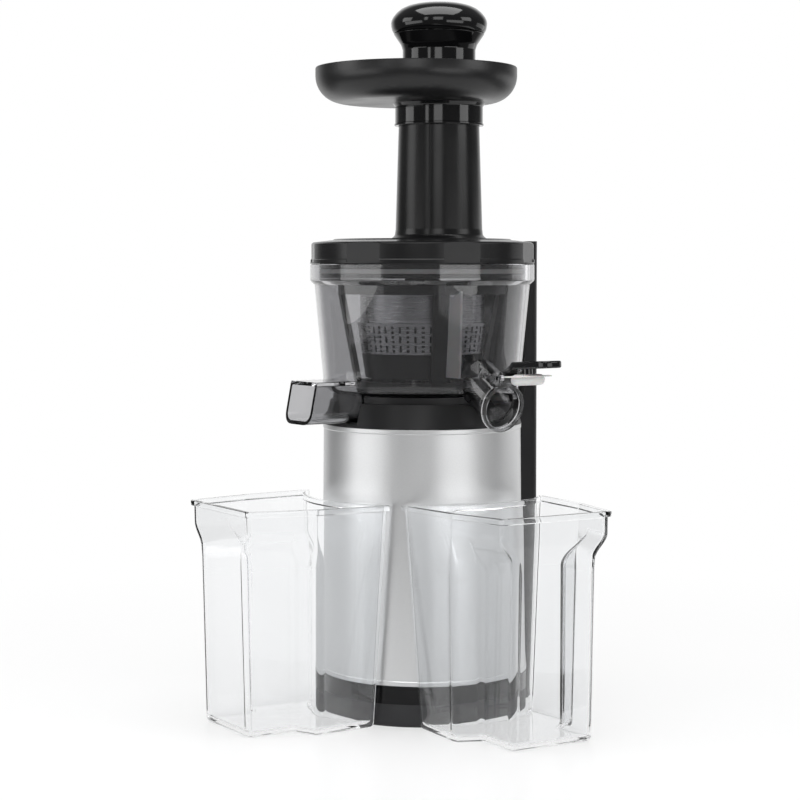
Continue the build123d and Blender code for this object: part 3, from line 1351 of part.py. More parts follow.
with BuildPart() as strainer_frame:
    revolve(
        outline([
            (AUGER_BOSS_RADIUS + AUGER_GAP, strainer_z),
            (STRAINER_BOTTOM_RADIUS, strainer_z),
            (DRUM_RADIUS_BOTTOM, DRUM_Z),
            (pillar_foot_radius - CAGE_THICK, DRUM_Z),
            (STRAINER_BOTTOM_RADIUS - CAGE_THICK, strainer_floor_z),
            (AUGER_BOSS_RADIUS + AUGER_GAP, strainer_floor_z),
        ]),
        axis=Axis.Z,
    )
    for pillar in range(CAGE_PILLARS):
        with BuildSketch(radial_plane(30 + 360 / CAGE_PILLARS * pillar)):
            with BuildLine():
                Polyline(
                    (pillar_foot_radius - CAGE_THICK, DRUM_Z - 1.0),
                    (pillar_foot_radius, DRUM_Z - 1.0),
                    (pillar_foot_radius, DRUM_Z),
                    (pillar_top_radius, mesh_z - 1.0),
                    (pillar_top_radius, cage_top_z),
                    (cage_inner_top, cage_top_z),
                    (cage_inner_top, mesh_z - 1.0),
                    close=True,
                )
            make_face()
        extrude(amount=CAGE_PILLAR_WIDTH / 2, both=True)
    revolve(
        outline([
            (cage_inner_top, cage_top_z),
            (CAGE_RING_RADIUS - 1.5, cage_top_z),
            (CAGE_RING_RADIUS, cage_top_z + 1.5),
            (CAGE_RING_RADIUS, cage_top_z + CAGE_RING_HEIGHT),
            (cage_inner_top, cage_top_z + CAGE_RING_HEIGHT),
        ]),
        axis=Axis.Z,
    )
    with BuildSketch(Plane.XY.offset(bowl_floor_z + FACE_GAP)):
        with Locations((-PEG_X, 0), (PEG_X, 0)):
            Circle(PEG_RADIUS)
        with Locations((0, (duct_inner_y - PULP_DUCT_REACH) / 2)):
            Rectangle(PULP_HOLE_WIDTH + PULP_DUCT_WALL, PULP_DUCT_REACH + duct_inner_y)
    extrude(amount=strainer_z - bowl_floor_z)
    with BuildSketch(Plane.XY.offset(bowl_floor_z)):
        with Locations((0, (duct_inner_y - PULP_DUCT_REACH) / 2)):
            Rectangle(
                PULP_HOLE_WIDTH - PULP_DUCT_WALL,
                PULP_DUCT_REACH + duct_inner_y - 2 * PULP_DUCT_WALL,
            )
    extrude(amount=strainer_floor_z - bowl_floor_z, mode=Mode.SUBTRACT)
finish(strainer_frame, "strainer_frame")

with BuildPart() as strainer_drum:
    revolve(
        outline([
            (DRUM_RADIUS_BOTTOM - DRUM_THICK, drum_seat_z),
            (DRUM_RADIUS_BOTTOM, drum_seat_z),
            (DRUM_RADIUS_TOP, mesh_z),
            (MESH_RADIUS - MESH_THICK, mesh_z),
            (MESH_RADIUS - MESH_THICK, mesh_z - DRUM_THICK),
            (DRUM_RADIUS_TOP - DRUM_THICK, mesh_z - DRUM_THICK),
        ]),
        axis=Axis.Z,
    )
    for row in range(DRUM_ROWS):
        row_z = DRUM_Z + DRUM_HEIGHT / 2 + (row - (DRUM_ROWS - 1) / 2) * DRUM_SLOT_PITCH
        with Locations((0, 0, row_z)):
            with PolarLocations(
                DRUM_RADIUS_BOTTOM,
                DRUM_COLUMNS,
                start_angle=180 / DRUM_COLUMNS * (row % 2),
            ):
                Box(
                    DRUM_RADIUS_TOP - DRUM_RADIUS_BOTTOM + 4 * DRUM_THICK,
                    DRUM_SLOT_WIDTH,
                    DRUM_SLOT_HEIGHT,
                    mode=Mode.SUBTRACT,
                )
finish(strainer_drum, "strainer_drum")

with BuildPart() as strainer_mesh:
    revolve(
        band(MESH_RADIUS - MESH_THICK, MESH_RADIUS, mesh_z + FACE_GAP, cage_top_z - FACE_GAP),
        axis=Axis.Z,
    )
finish(strainer_mesh, "strainer_mesh")

# ----------------------------------------------------------------------------------------------
# Wiping brush
# ----------------------------------------------------------------------------------------------

brush_arm_outer = BRUSH_FOOT_RADIUS + BRUSH_ARM_THICK
brush_top_inner = BRUSH_TOP_RADIUS - BRUSH_ARM_THICK
brush_run_z = cage_top_z - BRUSH_ARM_FOOT_Z


def arm_outer(z):
    """Outside radius of a leaning brush arm at a height."""
    share = (z - BRUSH_ARM_FOOT_Z) / brush_run_z
    return brush_arm_outer + share * (BRUSH_TOP_RADIUS - brush_arm_outer)


def cage_outer(z):
    """Outside radius of the strainer wall at a height."""
    if z < DRUM_Z:
        share = (z - strainer_z) / (DRUM_Z - strainer_z)
        return STRAINER_BOTTOM_RADIUS + share * (DRUM_RADIUS_BOTTOM - STRAINER_BOTTOM_RADIUS)
    return drum_radius(z)


def wiper_section(z, angle):
    """Section of one wiper: a strip on the arm's outside, then a lip trailing to the wall."""
    root = arm_outer(z) + FACE_GAP
    reach = bowl_radius(z) - BOWL_WALL - WIPER_GAP
    half = BRUSH_ARM_WIDTH / 2
    tip = sqrt(reach ** 2 - WIPER_SWEEP ** 2)
    frame = Plane(origin=(0, 0, z), x_dir=(*polar(1, angle), 0), z_dir=(0, 0, 1))
    return outline([
        (root, -half),
        (root + WIPER_THICK, -half),
        (root + WIPER_THICK, half - WIPER_THICK),
        (tip, WIPER_SWEEP - WIPER_THICK),
        (tip, WIPER_SWEEP),
        (root, half),
    ], frame)


def inner_lip_section(z, angle):
    """Section of the wiper's inner lip, between the arm and the strainer."""
    frame = Plane(origin=(0, 0, z), x_dir=(*polar(1, angle), 0), z_dir=(0, 0, 1))
    inner = cage_outer(z) + WIPER_GAP
    outer = arm_outer(z) - BRUSH_ARM_THICK - FACE_GAP
    half = WIPER_THICK / 2
    return outline([(inner, -half), (outer, -half), (outer, half), (inner, half)], frame)


arm_angles = [BRUSH_ARM_TURN + 360 / BRUSH_ARMS * turn for turn in range(BRUSH_ARMS)]

with BuildPart() as brush_frame:
    with BuildSketch(Plane.XY.offset(gear_z)):
        Circle(BRUSH_RING_RADIUS)
        add(gear_face(BRUSH_RING_TEETH, BRUSH_MODULE, 180 / BRUSH_RING_TEETH, True),
            mode=Mode.SUBTRACT)
    extrude(amount=BRUSH_GEAR_WIDTH)
    for arm_angle in arm_angles:
        with BuildSketch(radial_plane(arm_angle)):
            with BuildLine():
                Polyline(
                    (BRUSH_FOOT_RADIUS, BRUSH_ARM_FOOT_Z),
                    (brush_arm_outer, BRUSH_ARM_FOOT_Z),
                    (BRUSH_TOP_RADIUS, cage_top_z),
                    (BRUSH_TOP_RADIUS, cage_top_z + BRUSH_TOP_HEIGHT),
                    (brush_top_inner, cage_top_z + BRUSH_TOP_HEIGHT),
                    (brush_top_inner, cage_top_z),
                    close=True,
                )
            make_face()
        extrude(amount=BRUSH_ARM_WIDTH / 2, both=True)
    revolve(
        band(brush_top_inner - 1.0, BRUSH_TOP_RADIUS,
             cage_top_z, cage_top_z + BRUSH_TOP_HEIGHT),
        axis=Axis.Z,
    )
finish(brush_frame, "brush_frame")

with BuildPart() as brush_wipers:
    for arm_angle in arm_angles:
        loft([
            wiper_section(WIPER_Z, arm_angle),
            wiper_section(WIPER_Z + WIPER_HEIGHT, arm_angle),
        ])
        loft([
            inner_lip_section(WIPER_Z + 2.0, arm_angle),
            inner_lip_section(mesh_z - 2.0, arm_angle),
        ])
finish(brush_wipers, "brush_wipers")

# ----------------------------------------------------------------------------------------------
# Lid
# ----------------------------------------------------------------------------------------------

lid_inner_radius = FLANGE_RADIUS - LID_TOP_THICK
skirt_bottom_z = lid_z - LID_SKIRT_DEPTH
boss_z = lid_under_z - BUSH_BOSS_DEPTH
bush_bore = NOSE_RADIUS + RUN_GAP
bush_radius = bush_bore + BUSH_WALL
bush_top_z = auger_top_z + NOSE_LENGTH + 1.0
gasket_z = lid_z - LID_SKIRT_DEPTH * 0.7
magnet_spot = polar(MAGNET_PITCH_RADIUS, MAGNET_ANGLE)
grip_angles = [90 + 360 / GRIP_COUNT * turn for turn in range(GRIP_COUNT)]

with BuildPart() as lid:
    revolve(
        outline([
            (0, lid_under_z),
            (skirt_radius - LID_SKIRT_WALL, lid_under_z),
            (skirt_radius - LID_SKIRT_WALL, skirt_bottom_z),
            (skirt_radius, skirt_bottom_z),
            (skirt_radius, gasket_z),
            (skirt_radius - GASKET_DEPTH, gasket_z),
            (skirt_radius - GASKET_DEPTH, gasket_z + GASKET_WIDTH),
            (skirt_radius, gasket_z + GASKET_WIDTH),
            (skirt_radius, lid_edge_z - LID_TOP_THICK),
            (lid_inner_radius, lid_edge_z - LID_TOP_THICK),
            (lid_inner_radius, lid_z),
            (FLANGE_RADIUS, lid_z),
            (FLANGE_RADIUS, lid_edge_z),
            (LID_PLATEAU_RADIUS, lid_top_z),
            (0, lid_top_z),
        ]),
        axis=Axis.Z,
    )
    for grip_angle in grip_angles:
        with BuildSketch(radial_plane(grip_angle)):
            Polygon(
                (FLANGE_RADIUS - GRIP_DEPTH, lid_z + LID_TOP_THICK),
                (FLANGE_RADIUS + GRIP_DEPTH, lid_z + LID_TOP_THICK),
                (FLANGE_RADIUS + GRIP_DEPTH, lid_top_z),
                (FLANGE_RADIUS - GRIP_DEPTH, lid_top_z),
                align=None,
            )
        extrude(amount=GRIP_WIDTH / 2, both=True, mode=Mode.SUBTRACT)
    revolve(
        outline([
            (0, lid_under_z),
            (TUBE_RADIUS_BOTTOM + TUBE_FLARE, lid_under_z),
            (TUBE_RADIUS_BOTTOM + TUBE_FLARE, lid_top_z),
            (TUBE_RADIUS_BOTTOM, lid_top_z + TUBE_FLARE),
            (TUBE_RADIUS_TOP, tube_top_z),
            (TUBE_RADIUS_TOP, neck_top_z),
            (0, neck_top_z),
        ], tube_plane),
        axis=tube_axis,
    )
    with BuildSketch(Plane(origin=(0, TUBE_Y, 0), x_dir=(*polar(1, TUBE_RIB_ANGLE), 0),
                           z_dir=(*polar(1, TUBE_RIB_ANGLE - 90), 0))):
        Polygon(
            (TUBE_BORE_RADIUS + 1.0, lid_top_z),
            (TUBE_RADIUS_BOTTOM + TUBE_RIB_PROUD, lid_top_z),
            (TUBE_RADIUS_TOP + TUBE_RIB_PROUD, tube_top_z - FACE_GAP),
            (TUBE_BORE_RADIUS + 1.0, tube_top_z - FACE_GAP),
            align=None,
        )
    extrude(amount=TUBE_RIB_WIDTH / 2, both=True)
    with BuildSketch(Plane.XY.offset(lid_top_z)):
        with Locations((0, TUBE_Y)):
            Circle(TUBE_BORE_RADIUS)
    extrude(amount=neck_top_z - lid_top_z, mode=Mode.SUBTRACT)
    with BuildSketch(Plane.XY.offset(lid_under_z)):
        with Locations((0, TUBE_Y)):
            Circle(TUBE_BORE_RADIUS)
        with Locations((0, WEB_EDGE_Y - TUBE_BORE_RADIUS)):
            Rectangle(4 * TUBE_BORE_RADIUS, 2 * TUBE_BORE_RADIUS, mode=Mode.SUBTRACT)
    extrude(amount=LID_TOP_THICK, mode=Mode.SUBTRACT)
    with BuildSketch(Plane.XY.offset(boss_z)):
        Circle(BUSH_BOSS_RADIUS)
    extrude(amount=lid_top_z - boss_z)
    with BuildSketch(Plane.XY.offset(boss_z)):
        Circle(bush_radius)
    extrude(amount=bush_top_z - boss_z, mode=Mode.SUBTRACT)
    with BuildSketch(Plane.XY.offset(lid_z)):
        with Locations(magnet_spot):
            Rectangle(4 * MAGNET_RADIUS, 4 * MAGNET_RADIUS)
        Circle(lid_inner_radius + SEAT_GAP, mode=Mode.INTERSECT)
        Circle(skirt_radius - SEAT_GAP, mode=Mode.SUBTRACT)
    extrude(amount=LID_HEIGHT - LID_TOP_THICK)
    with BuildSketch(Plane.XY.offset(lid_z)):
        with Locations(magnet_spot):
            Circle(MAGNET_RADIUS + SEAT_GAP / 2)
    extrude(amount=MAGNET_HEIGHT + FACE_GAP, mode=Mode.SUBTRACT)
finish(lid, "lid")

with BuildPart() as lid_gasket:
    revolve(
        band(
            skirt_radius - GASKET_DEPTH,
            bowl_rim_inner - SEAT_GAP,
            gasket_z + FACE_GAP,
            gasket_z + GASKET_WIDTH - FACE_GAP,
        ),
        axis=Axis.Z,
    )
finish(lid_gasket, "lid_gasket")

with BuildPart() as auger_bush:
    revolve(band(bush_bore, bush_radius, boss_z, bush_top_z - FACE_GAP), axis=Axis.Z)
finish(auger_bush, "auger_bush")

with BuildPart() as lid_magnet:
    with BuildSketch(Plane.XY.offset(lid_z)):
        with Locations(magnet_spot):
            Circle(MAGNET_RADIUS)
    extrude(amount=MAGNET_HEIGHT)
finish(lid_magnet, "lid_magnet")

# ----------------------------------------------------------------------------------------------
# Food tray and pusher
# ----------------------------------------------------------------------------------------------


def tray_outline(inset, floor_z, corner):
    """Half section of a round tray with a curved lower corner."""
    radius = TRAY_RADIUS - inset
    mid = corner * (1 - sqrt(0.5))
    with BuildSketch(tray_plane) as section:
        with BuildLine():
            Polyline((0, tray_top_z), (0, floor_z), (radius - corner, floor_z))
            ThreePointArc(
                (radius - corner, floor_z),
                (radius - mid, floor_z + mid),
                (radius, floor_z + corner),
            )
            Polyline((radius, floor_z + corner), (radius, tray_top_z), (0, tray_top_z))
        make_face()
    return section.sketch


with BuildPart() as tray:
    revolve(tray_outline(0, tray_z, TRAY_CORNER), axis=tray_axis)
    revolve(
        tray_outline(TRAY_WALL, tray_floor_z, TRAY_CORNER - TRAY_WALL),
        axis=tray_axis,
        mode=Mode.SUBTRACT,
    )
    with BuildSketch(Plane.XY.offset(tray_z)):
        with Locations((0, TUBE_Y)):
            Circle(TUBE_BORE_RADIUS)
    extrude(amount=TRAY_HEIGHT, mode=Mode.SUBTRACT)
finish(tray, "tray")

with BuildPart() as tray_socket:
    revolve(
        outline([
            (socket_bore_radius, tube_top_z),
            (socket_radius, tube_top_z),
            (socket_radius, tray_z - (tray_z - tube_top_z) / 2),
            (SOCKET_FLARE_RADIUS, tray_z - FACE_GAP),
            (socket_bore_radius, tray_z - FACE_GAP),
        ], tube_plane),
        axis=tube_axis,
    )
    with BuildSketch(Plane.XY.offset(tube_top_z)):
        with Locations((0, TUBE_Y)):
            with PolarLocations(socket_radius, SOCKET_RIBS):
                Circle(SOCKET_RIB_RADIUS)
        with Locations((0, TUBE_Y)):
            Circle(socket_radius - SOCKET_WALL / 2, mode=Mode.SUBTRACT)
    extrude(amount=(tray_z - tube_top_z) / 2)
finish(tray_socket, "tray_socket")

pusher_bottom_z = tray_top_z - PUSHER_DEPTH
pusher_neck_z = tray_top_z + PUSHER_NECK_RISE
pusher_rim_z = tray_top_z + PUSHER_RIM_RISE
pusher_widest_z = tray_top_z + PUSHER_WIDEST_RISE
pusher_top_z = tray_top_z + PUSHER_TOP_RISE

with BuildPart() as pusher_body:
    revolve(
        outline([
            (0, pusher_bottom_z),
            (stem_radius - 1.5, pusher_bottom_z),
            (stem_radius, pusher_bottom_z + 1.5),
            (stem_radius, pusher_neck_z),
            (PUSHER_RIM_RADIUS, pusher_rim_z),
            (PUSHER_RIM_RADIUS - PUSHER_WALL, pusher_rim_z),
            (stem_radius - PUSHER_WALL, pusher_neck_z),
            (stem_radius - PUSHER_WALL, pusher_bottom_z + PUSHER_WALL),
            (0, pusher_bottom_z + PUSHER_WALL),
        ], tube_plane),
        axis=tube_axis,
    )
finish(pusher_body, "pusher_body")

with BuildPart() as pusher_cap:
    with BuildSketch(tube_plane):
        with BuildLine():
            Polyline(
                (0, pusher_rim_z + FACE_GAP),
                (PUSHER_RIM_RADIUS, pusher_rim_z + FACE_GAP),
                (PUSHER_CAP_RADIUS, pusher_widest_z),
            )
            Spline(
                (PUSHER_CAP_RADIUS, pusher_widest_z),
                (PUSHER_CAP_RADIUS * 0.8, pusher_top_z - 3.6),
                (0, pusher_top_z),
                tangents=[(0, 1), (-1, 0)],
            )
            Line((0, pusher_top_z), (0, pusher_rim_z + FACE_GAP))
        make_face()
    revolve(axis=tube_axis)
    with BuildSketch(Plane.XY.offset(pusher_rim_z)):
        with Locations((0, TUBE_Y)):
            Circle(PUSHER_RIM_RADIUS - PUSHER_WALL)
    extrude(amount=PUSHER_WIDEST_RISE - PUSHER_RIM_RISE, mode=Mode.SUBTRACT)
finish(pusher_cap, "pusher_cap")

# ----------------------------------------------------------------------------------------------
# Spine with switch and cord gland
# ----------------------------------------------------------------------------------------------

spine_top_z = lid_under_z + LID_TOP_THICK - 1.0
cover_z = SPINE_LIFT + 4.0
cover_inner_y = SPINE_BACK_Y - SPINE_COVER_THICK


def machine_outline(gap, low, high):
    """Half section of everything the spine stands behind, grown by a gap."""
    return outline([
        (0, low),
        (trim_radius + gap, low),
        (trim_radius + gap, body_z + gap),
        (BODY_RADIUS_BOTTOM + LIP_PROUD + gap, body_z + gap),
        (BODY_RADIUS_TOP + LIP_PROUD + gap, body_top_z),
        (bowl_reach + gap, bowl_z - gap),
        (bowl_reach + gap, shoulder_z - gap),
        (FLANGE_RADIUS + gap, flange_z - gap),
        (FLANGE_RADIUS + gap, high),
        (0, high),
    ])


def spine_plan(inset, z):
    """Plan of the spine, the two rear corners rounded."""
    with BuildSketch(Plane.XY.offset(z)) as plan:
        with Locations((0, (SPINE_FRONT_Y + SPINE_BACK_Y - inset) / 2)):
            Rectangle(2 * (SPINE_HALF_WIDTH - inset), SPINE_BACK_Y - inset - SPINE_FRONT_Y)
        fillet(plan.vertices().sort_by(Axis.Y)[-2:], SPINE_CORNER - inset)
    return plan.sketch


with BuildPart() as spine_hollow:
    extrude(spine_plan(SPINE_WALL, SPINE_LIFT + SPINE_WALL),
            amount=spine_top_z - SPINE_LIFT - 2 * SPINE_WALL)
    revolve(machine_outline(SPINE_GAP + SPINE_WALL, 0, lid_top_z), axis=Axis.Z, mode=Mode.SUBTRACT)

with BuildPart() as spine_shell:
    extrude(spine_plan(0, SPINE_LIFT), amount=spine_top_z - SPINE_LIFT)
    revolve(machine_outline(SPINE_GAP, 0, lid_top_z), axis=Axis.Z, mode=Mode.SUBTRACT)
    add(spine_hollow.part, mode=Mode.SUBTRACT)
    for boss_z in SPINE_SCREW_HEIGHTS:
        with BuildSketch(Plane.XZ.offset(-cover_inner_y + FACE_GAP)):
            with Locations((0, boss_z)):
                Circle(SPINE_BOSS_RADIUS)
        extrude(amount=cover_inner_y - BODY_RADIUS_TOP - SPINE_GAP)
    revolve(machine_outline(SPINE_GAP, 0, lid_top_z), axis=Axis.Z, mode=Mode.SUBTRACT)
    with BuildSketch(Plane.XZ.offset(-cover_inner_y)):
        with Locations((0, (cover_z + SPINE_OPENING_TOP_Z) / 2)):
            Rectangle(2 * SPINE_BACK_OPENING, SPINE_OPENING_TOP_Z - cover_z)
    extrude(amount=-2 * SPINE_COVER_THICK, mode=Mode.SUBTRACT)
    for boss_z in SPINE_SCREW_HEIGHTS:
        with BuildSketch(Plane.XZ.offset(-cover_inner_y)):
            with Locations((0, boss_z)):
                Circle(SCREW_RADIUS + SEAT_GAP / 2)
        extrude(amount=SPINE_SCREW_LENGTH, mode=Mode.SUBTRACT)
    with BuildSketch(Plane.XZ.offset(-SPINE_FRONT_Y)):
        with Locations((0, PORT_Z)):
            Circle(PORT_RADIUS)
    extrude(amount=-(cover_inner_y - SPINE_FRONT_Y), mode=Mode.SUBTRACT)
finish(spine_shell, "spine_shell")

switch_body_half = SWITCH_WIDTH / 2
with BuildPart() as spine_cover:
    with BuildSketch(Plane.XZ.offset(-cover_inner_y)):
        with Locations((0, (cover_z + SPINE_OPENING_TOP_Z) / 2)):
            Rectangle(
                2 * (SPINE_BACK_OPENING - FACE_GAP),
                SPINE_OPENING_TOP_Z - cover_z - 2 * FACE_GAP,
            )
        with Locations((0, SWITCH_Z)):
            Rectangle(
                SWITCH_WIDTH + 2 * FACE_GAP,
                SWITCH_HEIGHT + 2 * FACE_GAP,
                mode=Mode.SUBTRACT,
            )
        with Locations((0, GLAND_Z)):
            Circle(GLAND_RADIUS + SEAT_GAP, mode=Mode.SUBTRACT)
        with Locations(*[(0, height) for height in SPINE_SCREW_HEIGHTS]):
            Circle(SCREW_RADIUS + SEAT_GAP, mode=Mode.SUBTRACT)
    extrude(amount=-SPINE_COVER_THICK)
    with BuildSketch(Plane.XZ.offset(-SPINE_BACK_Y)):
        with Locations(*[(0, height) for height in SPINE_SCREW_HEIGHTS]):
            Circle(SCREW_HEAD_RADIUS + SEAT_GAP)
    extrude(amount=SPINE_COVER_THICK / 2, mode=Mode.SUBTRACT)
finish(spine_cover, "spine_cover")

spine_head_y = SPINE_BACK_Y - SPINE_COVER_THICK / 2 + FACE_GAP / 2
with BuildPart() as spine_screws:
    with BuildSketch(Plane.XZ.offset(-spine_head_y)):
        with Locations(*[(0, height) for height in SPINE_SCREW_HEIGHTS]):
            Circle(SCREW_HEAD_RADIUS)
    extrude(amount=-(SPINE_BACK_Y - spine_head_y))
    with BuildSketch(Plane.XZ.offset(-spine_head_y)):
        with Locations(*[(0, height) for height in SPINE_SCREW_HEIGHTS]):
            Circle(SCREW_RADIUS)
    extrude(amount=SPINE_SCREW_LENGTH)
finish(spine_screws, "spine_screws")

rocker_half_width = switch_body_half - SWITCH_WALL - SWITCH_SIDE_GAP
rocker_pivot_y = SPINE_BACK_Y - ROCKER_PIVOT_DEPTH
with BuildPart() as switch_housing:
    with BuildSketch(Plane.XZ.offset(-SPINE_BACK_Y - FACE_GAP)):
        with Locations((0, SWITCH_Z)):
            Rectangle(SWITCH_WIDTH, SWITCH_HEIGHT)
    extrude(amount=SWITCH_DEPTH)
    with BuildSketch(Plane.XZ.offset(-SPINE_BACK_Y - FACE_GAP)):
        with Locations((0, SWITCH_Z)):
            Rectangle(SWITCH_WIDTH + 2 * SWITCH_BEZEL, SWITCH_HEIGHT + 2 * SWITCH_BEZEL)
    extrude(amount=-SWITCH_BEZEL_THICK)
    with BuildSketch(Plane.XZ.offset(-SPINE_BACK_Y - FACE_GAP - SWITCH_BEZEL_THICK)):
        with Locations((0, SWITCH_Z)):
            Rectangle(SWITCH_WIDTH - 2 * SWITCH_WALL, SWITCH_HEIGHT - 2 * SWITCH_WALL)
    extrude(amount=SWITCH_DEPTH + SWITCH_BEZEL_THICK - SWITCH_WALL, mode=Mode.SUBTRACT)
    with BuildSketch(Plane.YZ.offset(-switch_body_half)):
        with Locations((rocker_pivot_y, SWITCH_Z)):
            Circle(ROCKER_PIN_RADIUS + RUN_GAP)
    extrude(amount=SWITCH_WIDTH, mode=Mode.SUBTRACT)
finish(switch_housing, "switch_housing")

rocker_reach = SWITCH_HEIGHT / 2 - SWITCH_WALL - SWITCH_SIDE_GAP
with BuildPart() as switch_rocker:
    with BuildSketch(Plane.YZ.offset(-rocker_half_width)):
        with BuildLine():
            Polyline(
                (rocker_pivot_y - ROCKER_PIN_RADIUS, SWITCH_Z - ROCKER_PIN_RADIUS),
                (rocker_pivot_y + 1.0, SWITCH_Z - rocker_reach),
                (rocker_pivot_y + ROCKER_FACE, SWITCH_Z - rocker_reach + 0.4),
            )
            ThreePointArc(
                (rocker_pivot_y + ROCKER_FACE, SWITCH_Z - rocker_reach + 0.4),
                (rocker_pivot_y + ROCKER_FACE - ROCKER_DISH, SWITCH_Z),
                (rocker_pivot_y + ROCKER_FACE, SWITCH_Z + rocker_reach - 0.4),
            )
            Polyline(
                (rocker_pivot_y + ROCKER_FACE, SWITCH_Z + rocker_reach - 0.4),
                (rocker_pivot_y + 1.0, SWITCH_Z + rocker_reach),
                (rocker_pivot_y - ROCKER_PIN_RADIUS, SWITCH_Z + ROCKER_PIN_RADIUS),
                (rocker_pivot_y - ROCKER_PIN_RADIUS, SWITCH_Z - ROCKER_PIN_RADIUS),
            )
        make_face()
    extrude(amount=2 * rocker_half_width)
    with BuildSketch(Plane.YZ.offset(FACE_GAP - switch_body_half)):
        with Locations((rocker_pivot_y, SWITCH_Z)):
            Circle(ROCKER_PIN_RADIUS)
    extrude(amount=SWITCH_WIDTH - 2 * FACE_GAP)
finish(switch_rocker, "switch_rocker")

with BuildPart() as lid_sensor:
    with BuildSketch(Plane.XZ.offset(-cover_inner_y + FACE_GAP)):
        with Locations((magnet_spot[0] - SENSOR_OFFSET, lid_z + SENSOR_HEIGHT / 3)):
            Rectangle(SENSOR_WIDTH, SENSOR_HEIGHT)
    extrude(amount=SENSOR_THICK)
finish(lid_sensor, "lid_sensor")

with BuildPart() as cord_gland:
    with BuildSketch(Plane.XZ.offset(-SPINE_BACK_Y - FACE_GAP)):
        with Locations((0, GLAND_Z)):
            Circle(GLAND_FLANGE_RADIUS)
    extrude(amount=-SWITCH_BEZEL_THICK)
    with BuildSketch(Plane.XZ.offset(-SPINE_BACK_Y - FACE_GAP)):
        with Locations((0, GLAND_Z)):
            Circle(GLAND_RADIUS)
    extrude(amount=GLAND_DEPTH)
    with BuildSketch(Plane.XZ.offset(-SPINE_BACK_Y - 2 * SWITCH_BEZEL_THICK)):
        with Locations((0, GLAND_Z)):
            Circle(GLAND_BORE_RADIUS)
    extrude(amount=GLAND_DEPTH + 2 * SWITCH_BEZEL_THICK, mode=Mode.SUBTRACT)
finish(cord_gland, "cord_gland")

# ----------------------------------------------------------------------------------------------
# Catch jugs
# ----------------------------------------------------------------------------------------------


def jug_frame(turn, shift):
    """Plane under a jug, its first axis pointing away from the machine."""
    away = shift[0] + trim_radius - JUG_FIT_RADIUS
    origin = Vector(*polar(away, turn), 0) + Vector(*polar(shift[1], turn + 90), 0)
    return Plane(origin=origin, x_dir=(*polar(1, turn), 0), z_dir=(0, 0, 1))


def blend_point(low, high, z):
    """Point of the jug's wall between its bottom and top plans."""
    share = z / JUG_HEIGHT
    return tuple(a + share * (b - a) for a, b in zip(low, high))


def jug_plan(frame, z, inset):
    """Plan of the jug at a height: hollow inner side, waist, flat outer side."""
    inner = blend_point(JUG_INNER_BOTTOM, JUG_INNER_TOP, z)
    waist = blend_point(JUG_WAIST_BOTTOM, JUG_WAIST_TOP, z)
    outer = blend_point(JUG_OUTER_BOTTOM, JUG_OUTER_TOP, z)
    inner = (inner[0] + inset, inner[1] - inset)
    waist = (waist[0], waist[1] - inset)
    outer = (outer[0] - inset, outer[1] - inset)
    with BuildSketch(frame.offset(z)) as plan:
        with BuildLine():
            Polyline(
                (inner[0], -inner[1]),
                (waist[0], -waist[1]),
                (outer[0], -outer[1]),
                outer,
                waist,
                inner,
            )
            ThreePointArc(inner, (JUG_INNER_REACH + inset, 0), (inner[0], -inner[1]))
        make_face()
        fillet(plan.vertices().sort_by(Axis.X)[-2:], JUG_CORNER)
    return plan.sketch


def grip_recess(frame, side, inset):
    """Solid beside the jug's outer half: the finger recess, or the wall's share of it."""
    run = GRIP_JOG[0] - GRIP_INNER[0]
    drop = GRIP_INNER[1] - GRIP_JOG[1]
    jog = (GRIP_JOG[0] - inset / 2, GRIP_JOG[1] - inset)
    with BuildSketch(frame.offset(-JUG_FLOOR)) as plan:
        with BuildLine():
            Polyline(
                (jog[0] - 2 * run, side * (jog[1] + 2 * drop)),
                (jog[0], side * jog[1]),
                (2 * JUG_OUTER_TOP[0], side * (jog[1] + GRIP_FLARE)),
                (2 * JUG_OUTER_TOP[0], side * (jog[1] + 2 * drop)),
                close=True,
            )
        make_face()
    return extrude(plan.sketch, amount=GRIP_TOP_Z + inset + JUG_FLOOR)


def jug_outside(frame):
    """Solid block with the outer form of a jug."""
    with BuildPart() as block:
        loft([jug_plan(frame, 0, 0), jug_plan(frame, JUG_HEIGHT, 0)])
        for side in (-1, 1):
            add(grip_recess(frame, side, 0), mode=Mode.SUBTRACT)
        extrude(
            jug_plan(frame, JUG_HEIGHT - JUG_LIP_HEIGHT, -JUG_LIP),
            amount=JUG_LIP_HEIGHT,
        )
    return block.part


def jug_hollow(frame):
    """Solid that fills the inside of a jug."""
    with BuildPart() as block:
        loft([jug_plan(frame, JUG_FLOOR, JUG_WALL), jug_plan(frame, JUG_HEIGHT, JUG_WALL)])
        for side in (-1, 1):
            add(grip_recess(frame, side, JUG_WALL), mode=Mode.SUBTRACT)
    return block.part


juice_frame = jug_frame(JUICE_JUG_TURN, JUICE_JUG_SHIFT)
with BuildPart() as juice_jug:
    add(jug_outside(juice_frame))
    add(jug_hollow(juice_frame), mode=Mode.SUBTRACT)
finish(juice_jug, "juice_jug")

pulp_frame = jug_frame(PULP_JUG_TURN, PULP_JUG_SHIFT)
with BuildPart() as pulp_jug:
    add(jug_outside(pulp_frame))
    add(jug_hollow(pulp_frame), mode=Mode.SUBTRACT)
finish(pulp_jug, "pulp_jug")
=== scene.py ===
import json
import math

import bmesh
import bpy
from mathutils import Matrix, Vector


